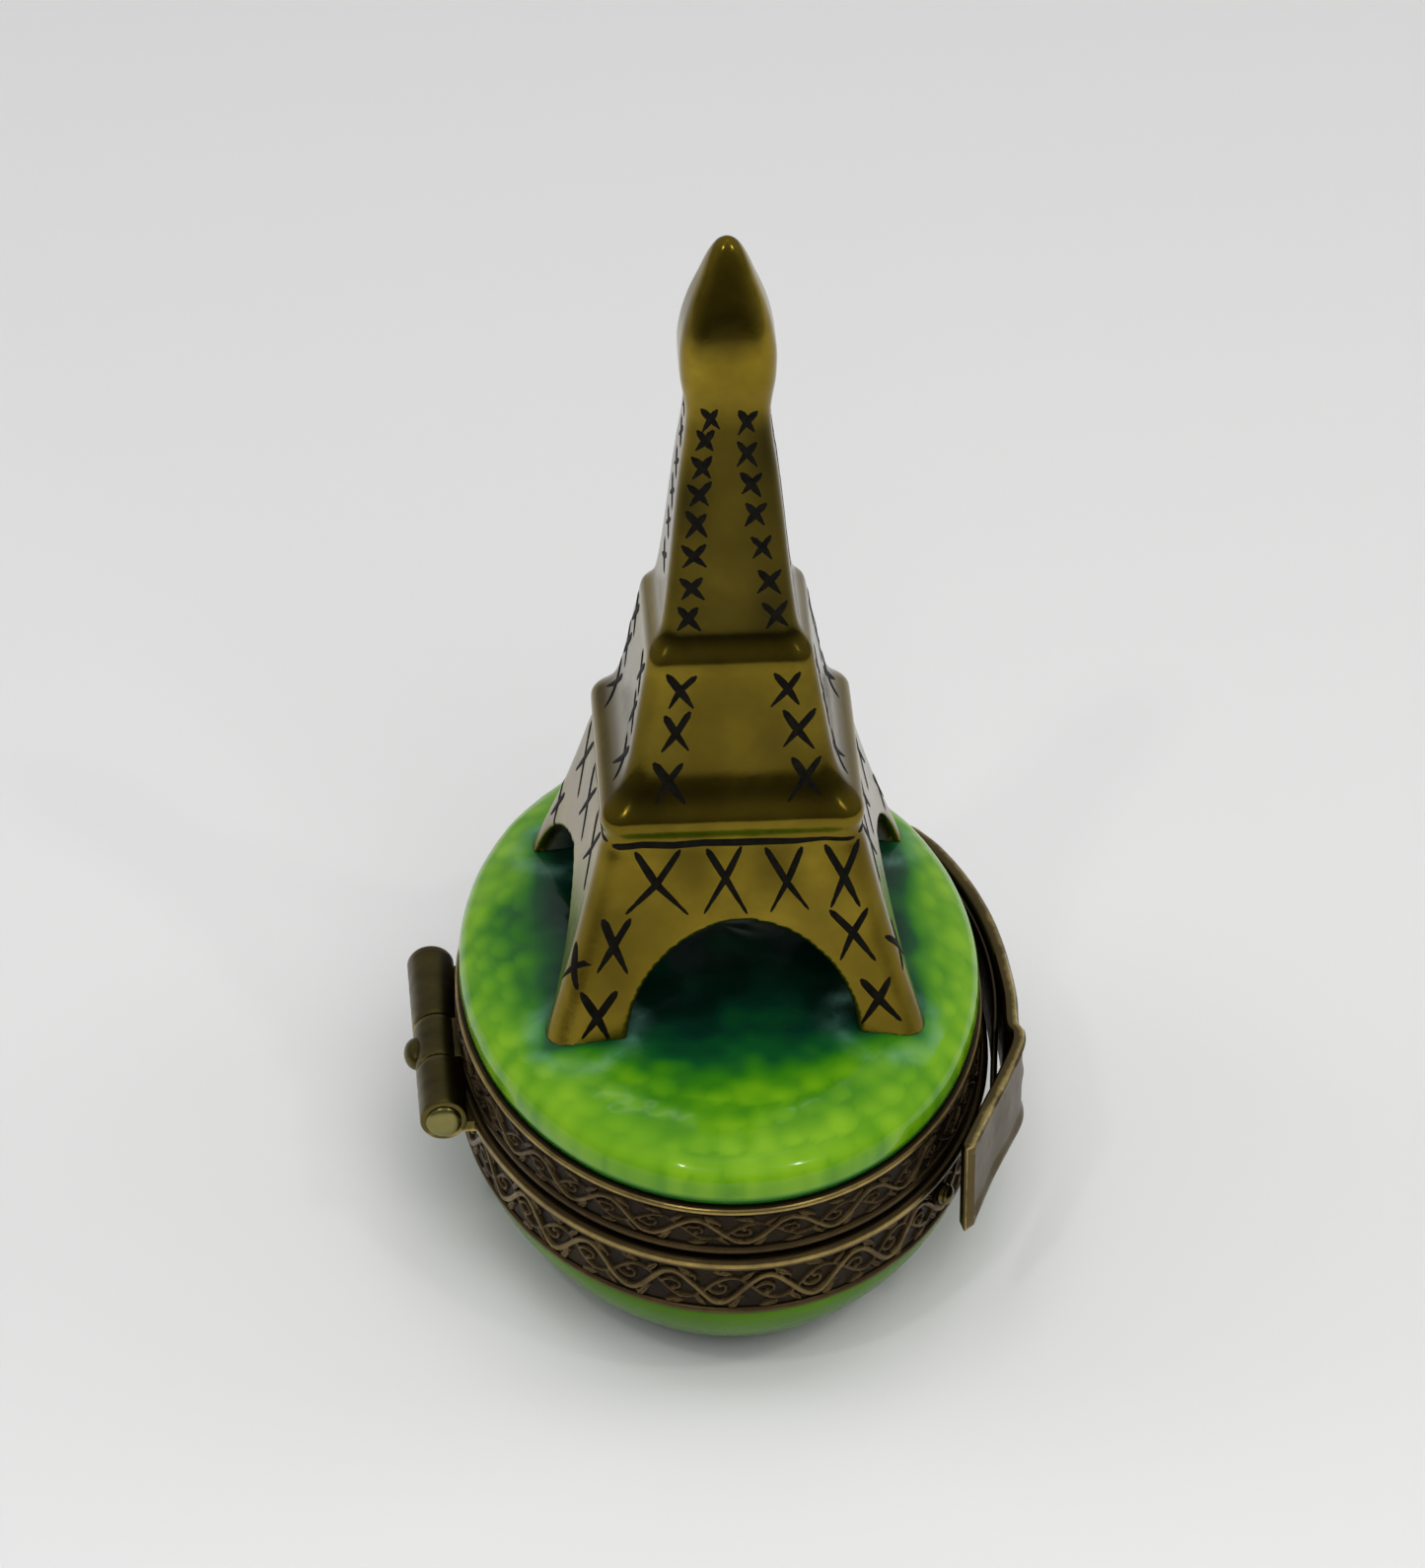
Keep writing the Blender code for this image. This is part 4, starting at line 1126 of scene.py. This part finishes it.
def knuckle(name, node, y0, y1, body, leaf_z, a_stop, lug=False):
    e = 0.16
    rows = [(1.30, y0), (KR - e, y0), (KR - 0.05, y0 + 0.05), (KR, y0 + e)]
    steps = int((y1 - y0) / 0.5)
    rows += [(KR + 0.012 * math.sin(k * 1.9 + y0), y0 + e + (y1 - y0 - 2 * e) * k / steps) for k in range(1, steps)]
    rows += [(KR, y1 - e), (KR - 0.05, y1 - 0.05), (KR - e, y1), (1.30, y1)]
    o = y_cylinder(name, rows, [M_HINGE], seg=80)
    boolean(o, leaf_block("leaf", y0 + 0.1, y1 - 0.1, *leaf_z, a_stop), "UNION")
    if lug:
        bm = bmesh.new()
        bmesh.ops.create_uvsphere(bm, u_segments=32, v_segments=16, radius=0.92 * MM)
        bmesh.ops.scale(bm, verts=bm.verts, vec=(1.0, 1.55, 1.15))
        bmesh.ops.translate(bm, verts=bm.verts, vec=Vector((HX - 1.62, (y0 + y1) / 2 - 0.15, HZ)) * MM)
        me = bpy.data.meshes.new("lug")
        bm.to_mesh(me)
        bm.free()
        b = bpy.data.objects.new("lug", me)
        scene.collection.objects.link(b)
        boolean(o, b, "UNION")
    bore = y_cylinder("bore", [(1.20, y0 - 1), (1.20, y1 + 1)], seg=48)
    boolean(o, bore)
    o.data.materials.clear()
    o.data.materials.append(M_HINGE)
    o.data.shade_smooth()
    o.data.set_sharp_from_angle(angle=math.radians(38))
    co = coords_of(o)
    d = np.hypot(co[:, 0] - HX, co[:, 2] - HZ)
    ends = np.minimum(co[:, 1] - y0, y1 - co[:, 1])
    put_attr(o, wear=np.clip(0.30 + 0.35 * (np.exp(-(ends / 0.25) ** 2)) + 0.35 * (vnoise(co[:, 1] * 0.9, co[:, 2] * 1.2) - 0.5) + 0.25 * (d > KR + 0.3), 0, 1))
    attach(o, body)
    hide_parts(node)
    return o


G = 0.05
knuckle("knuckle_front", "hinge_knuckle_front", KY[0], KY[1] - G, "base", (HZ - 1.15, HZ - 0.25), 19.95)
knuckle("knuckle_middle", "hinge_knuckle_middle", KY[1] + G, KY[2] - G, "lid", (HZ + 0.35, HZ + 1.3), 19.5, lug=True)
knuckle("knuckle_rear", "hinge_knuckle_rear", KY[2] + G, KY[3], "base", (HZ - 1.15, HZ - 0.25), 19.95)
rows = []
y0, y1 = KY[0], KY[3]
rows += [(0.0001, y0 - 0.44), (0.35, y0 - 0.435), (0.75, y0 - 0.40), (1.05, y0 - 0.32), (1.24, y0 - 0.22), (1.31, y0 - 0.12), (1.29, y0 - 0.06), (1.10, y0 - 0.04)]
rows += [(1.10, y1 + 0.04), (1.29, y1 + 0.06), (1.31, y1 + 0.12), (1.24, y1 + 0.22), (1.05, y1 + 0.32), (0.75, y1 + 0.40), (0.35, y1 + 0.435), (0.0001, y1 + 0.44)]
pin = y_cylinder("pin", rows, [brass("pin_brass", (0.10, 0.095, 0.030), (0.30, 0.27, 0.095), 0.30)], seg=64)
put_attr(pin, wear=np.full(len(pin.data.vertices), 0.45))
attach(pin, "base")
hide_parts("hinge_pin")

# ---------------------------------------------------------------- clasp
def on_oval(a, deg, z=0.0):
    t = math.radians(deg)
    return np.array((a * math.cos(t), (a + DB) * math.sin(t), z))


def spline(pts, n):
    """Catmull-Rom through pts, n samples."""
    pts = np.array(pts, float)
    p = np.concatenate([[2 * pts[0] - pts[1]], pts, [2 * pts[-1] - pts[-2]]])
    out = []
    m = len(pts) - 1
    for i in range(n):
        u = i / (n - 1) * m
        k = min(int(u), m - 1)
        t = u - k
        a, b, c, d = p[k], p[k + 1], p[k + 2], p[k + 3]
        out.append(0.5 * ((2 * b) + (c - a) * t + (2 * a - 5 * b + 4 * c - d) * t * t + (3 * b - a - 3 * c + d) * t ** 3))
    return np.array(out)


def strip(name, centre, half_t, lows, highs, mats, rim=0.0, n_h=26, panel=None):
    """A standing strip along a plan path. half_t, lows and highs are per sample; rim raises a border on the outer face."""
    c = np.asarray(centre)
    n = len(c)
    tan = np.gradient(c, axis=0)
    tan /= np.linalg.norm(tan, axis=1)[:, None]
    nor = np.stack([-tan[:, 1], tan[:, 0]], 1)
    if nor[0] @ c[0][:2] < 0:
        nor = -nor
    s = np.concatenate([[0], np.cumsum(np.linalg.norm(np.diff(c, axis=0), axis=1))])
    total = s[-1]
    vs, wear = [], []
    for i in range(n):
        lo, hi = lows[i], highs[i]
        r = min(0.22, half_t[i] * 0.7)
        endk = min(1.0, (total - s[i]) / 0.25 + 0.25, s[i] / 0.25 + 0.25)
        section = []
        fr = np.linspace(0, 1, n_h)
        for f in fr:                               # outer face, bottom to top
            zz = lo + (hi - lo) * f
            e = min(zz - lo, hi - zz)
            k = half_t[i] - r * (1 - math.sqrt(max(0, 1 - (1 - min(1, e / r)) ** 2)))
            w = 0.30
            if rim:
                d_edge = min(e, max(0.0, total - s[i]))
                sink = rim * min(1, max(0, (d_edge - 0.50) / 0.28))
                k -= sink
                w = 0.55 if d_edge < 0.55 else 0.25
                if panel is not None:
                    k += panel(s[i], total, f, sink / rim)
            section.append((k, zz, w + (0.35 if e < 0.12 else 0)))
        for f in fr[::-1]:                         # inner face, top to bottom
            zz = lo + (hi - lo) * f
            e = min(zz - lo, hi - zz)
            k = half_t[i] - r * (1 - math.sqrt(max(0, 1 - (1 - min(1, e / r)) ** 2)))
            # The inner face, towards the collar, gets a lower value than the outer face: painted shade in the gap; the
            # higher edge values are wear.
            section.append((-k, zz, 0.18 + (0.3 if e < 0.12 else 0)))
        for k, zz, w in section:
            k *= endk
            vs.append((c[i][0] + nor[i][0] * k, c[i][1] + nor[i][1] * k, zz))
            wear.append(w)
    m = 2 * n_h
    fs = []
    for i in range(n - 1):
        for j in range(m):
            j2 = (j + 1) % m
            fs.append((i * m + j, i * m + j2, (i + 1) * m + j2, (i + 1) * m + j))
    fs += [tuple(range(m)), tuple(range((n - 1) * m, n * m))[::-1]]
    o = mesh_object(name, vs, fs, mats, {"wear": wear}, sharp=50)
    fix_normals(o)
    return o


# ribbon
plan = []
for i in range(10):
    f = i / 9
    t = 46.0 - 58.0 * f
    plan.append(on_oval(21.30 + 0.40 * max(0, (f - 0.75) / 0.25) - 0.12 * max(0, (0.15 - f) / 0.15), t)[:2])
plan += [np.array((21.55, -7.15)), np.array((21.25, -8.9)), np.array((20.0, -11.9)), np.array((18.35, -15.6)), np.array((16.30, -20.65))]
path = spline(plan, 150)
seg = np.linalg.norm(np.diff(path, axis=0), axis=1)
s = np.concatenate([[0], np.cumsum(seg)])
f = s / s[-1]
half_t = 0.55 * np.clip(0.40 + f / 0.12 * 0.6, 0.40, 1.0)
lows = 10.0 + 3.6 * np.clip(1 - f / 0.72, 0, 1) ** 1.2 + 0.35 * np.sin(np.clip((f - 0.70) / 0.30, 0, 1) * math.pi)
highs = np.full(len(f), 17.68) - 0.5 * np.clip((0.06 - f) / 0.06, 0, 1) - 0.25 * np.sin(np.clip((f - 0.72) / 0.26, 0, 1) * math.pi)


def ribbon_panel(si, total, fz, inside):
    """Fluting and a row of small bosses on the outer face of the ribbon."""
    u = si / total
    k = 0.05 * math.sin(u * total * 1.15) * inside
    k += 0.16 * math.exp(-((fz - 0.5) / 0.09) ** 2) * math.sin(u * total * 1.35) ** 2 * inside * (1 if u < 0.70 else 0.25)
    return k


ribbon = strip("clasp_ribbon_plate", path, half_t, lows, highs, M_CLASP, rim=0.24, panel=ribbon_panel)
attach(ribbon, "clasp")
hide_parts("clasp_ribbon")

# The arm carries the dark brass: painted shade in the gap between the ribbon and the collar.
arm_path = np.array([on_oval(20.45, t)[:2] for t in np.linspace(50, -14, 80)])
arm = strip("clasp_spring_strip", arm_path, np.full(80, 0.24), 14.5 - 3.3 * np.clip(np.linspace(0, 1.6, 80), 0, 1), np.full(80, 17.3), M_DARKBRASS, n_h=12)
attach(arm, "clasp")
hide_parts("clasp_arm")

vs, fs = [], []
ts = np.linspace(49, 43, 9)
for t in ts:
    for a, zz in ((19.55, 14.8), (20.15, 14.9), (20.15, 16.9), (19.55, 17.0)):
        vs.append(on_oval(a, t, zz))
for k in range(len(ts) - 1):
    for i in range(4):
        j = (i + 1) % 4
        fs.append((k * 4 + i, k * 4 + j, (k + 1) * 4 + j, (k + 1) * 4 + i))
fs += [(0, 1, 2, 3), tuple((len(ts) - 1) * 4 + i for i in range(4))]
foot = mesh_object("clasp_solder_pad", vs, fs, M_CLASP, {"wear": np.full(len(vs), 0.3)}, smooth=False)
fix_normals(foot)
bv = foot.modifiers.new("bevel", "BEVEL")
bv.width, bv.segments = 0.12 * MM, 3
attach(foot, "lid")
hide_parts("clasp_foot")

# catch stud: a small turned button on the lower mount
t = math.radians(-40.0)
base_p = np.array((19.56 * math.cos(t), (19.56 + DB) * math.sin(t), 10.9))
outv = np.array((math.cos(t) / 19.5, math.sin(t) / (19.5 + DB), 0))
outv /= np.linalg.norm(outv)
upv = np.array((0, 0, 1.0))
sidev = np.cross(upv, outv)
rows = [(0.0, 0.0001), (0.0, 0.80), (0.08, 0.82), (0.2, 0.78), (0.3, 0.66), (0.42, 0.74), (0.55, 0.72), (0.7, 0.58), (0.8, 0.36), (0.85, 0.15), (0.86, 0.0001)]
vs, fs = [], []
for hgt, r in rows:
    for i in range(32):
        vs.append(base_p + outv * hgt + (sidev * math.cos(TAU * i / 32) + upv * math.sin(TAU * i / 32)) * r)
for k in range(len(rows) - 1):
    for i in range(32):
        j = (i + 1) % 32
        fs.append((k * 32 + i, k * 32 + j, (k + 1) * 32 + j, (k + 1) * 32 + i))
stud = mesh_object("catch_button", vs, fs, M_HINGE, {"wear": np.full(len(vs), 0.55)})
fix_normals(stud)
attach(stud, "base")
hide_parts("catch_stud")
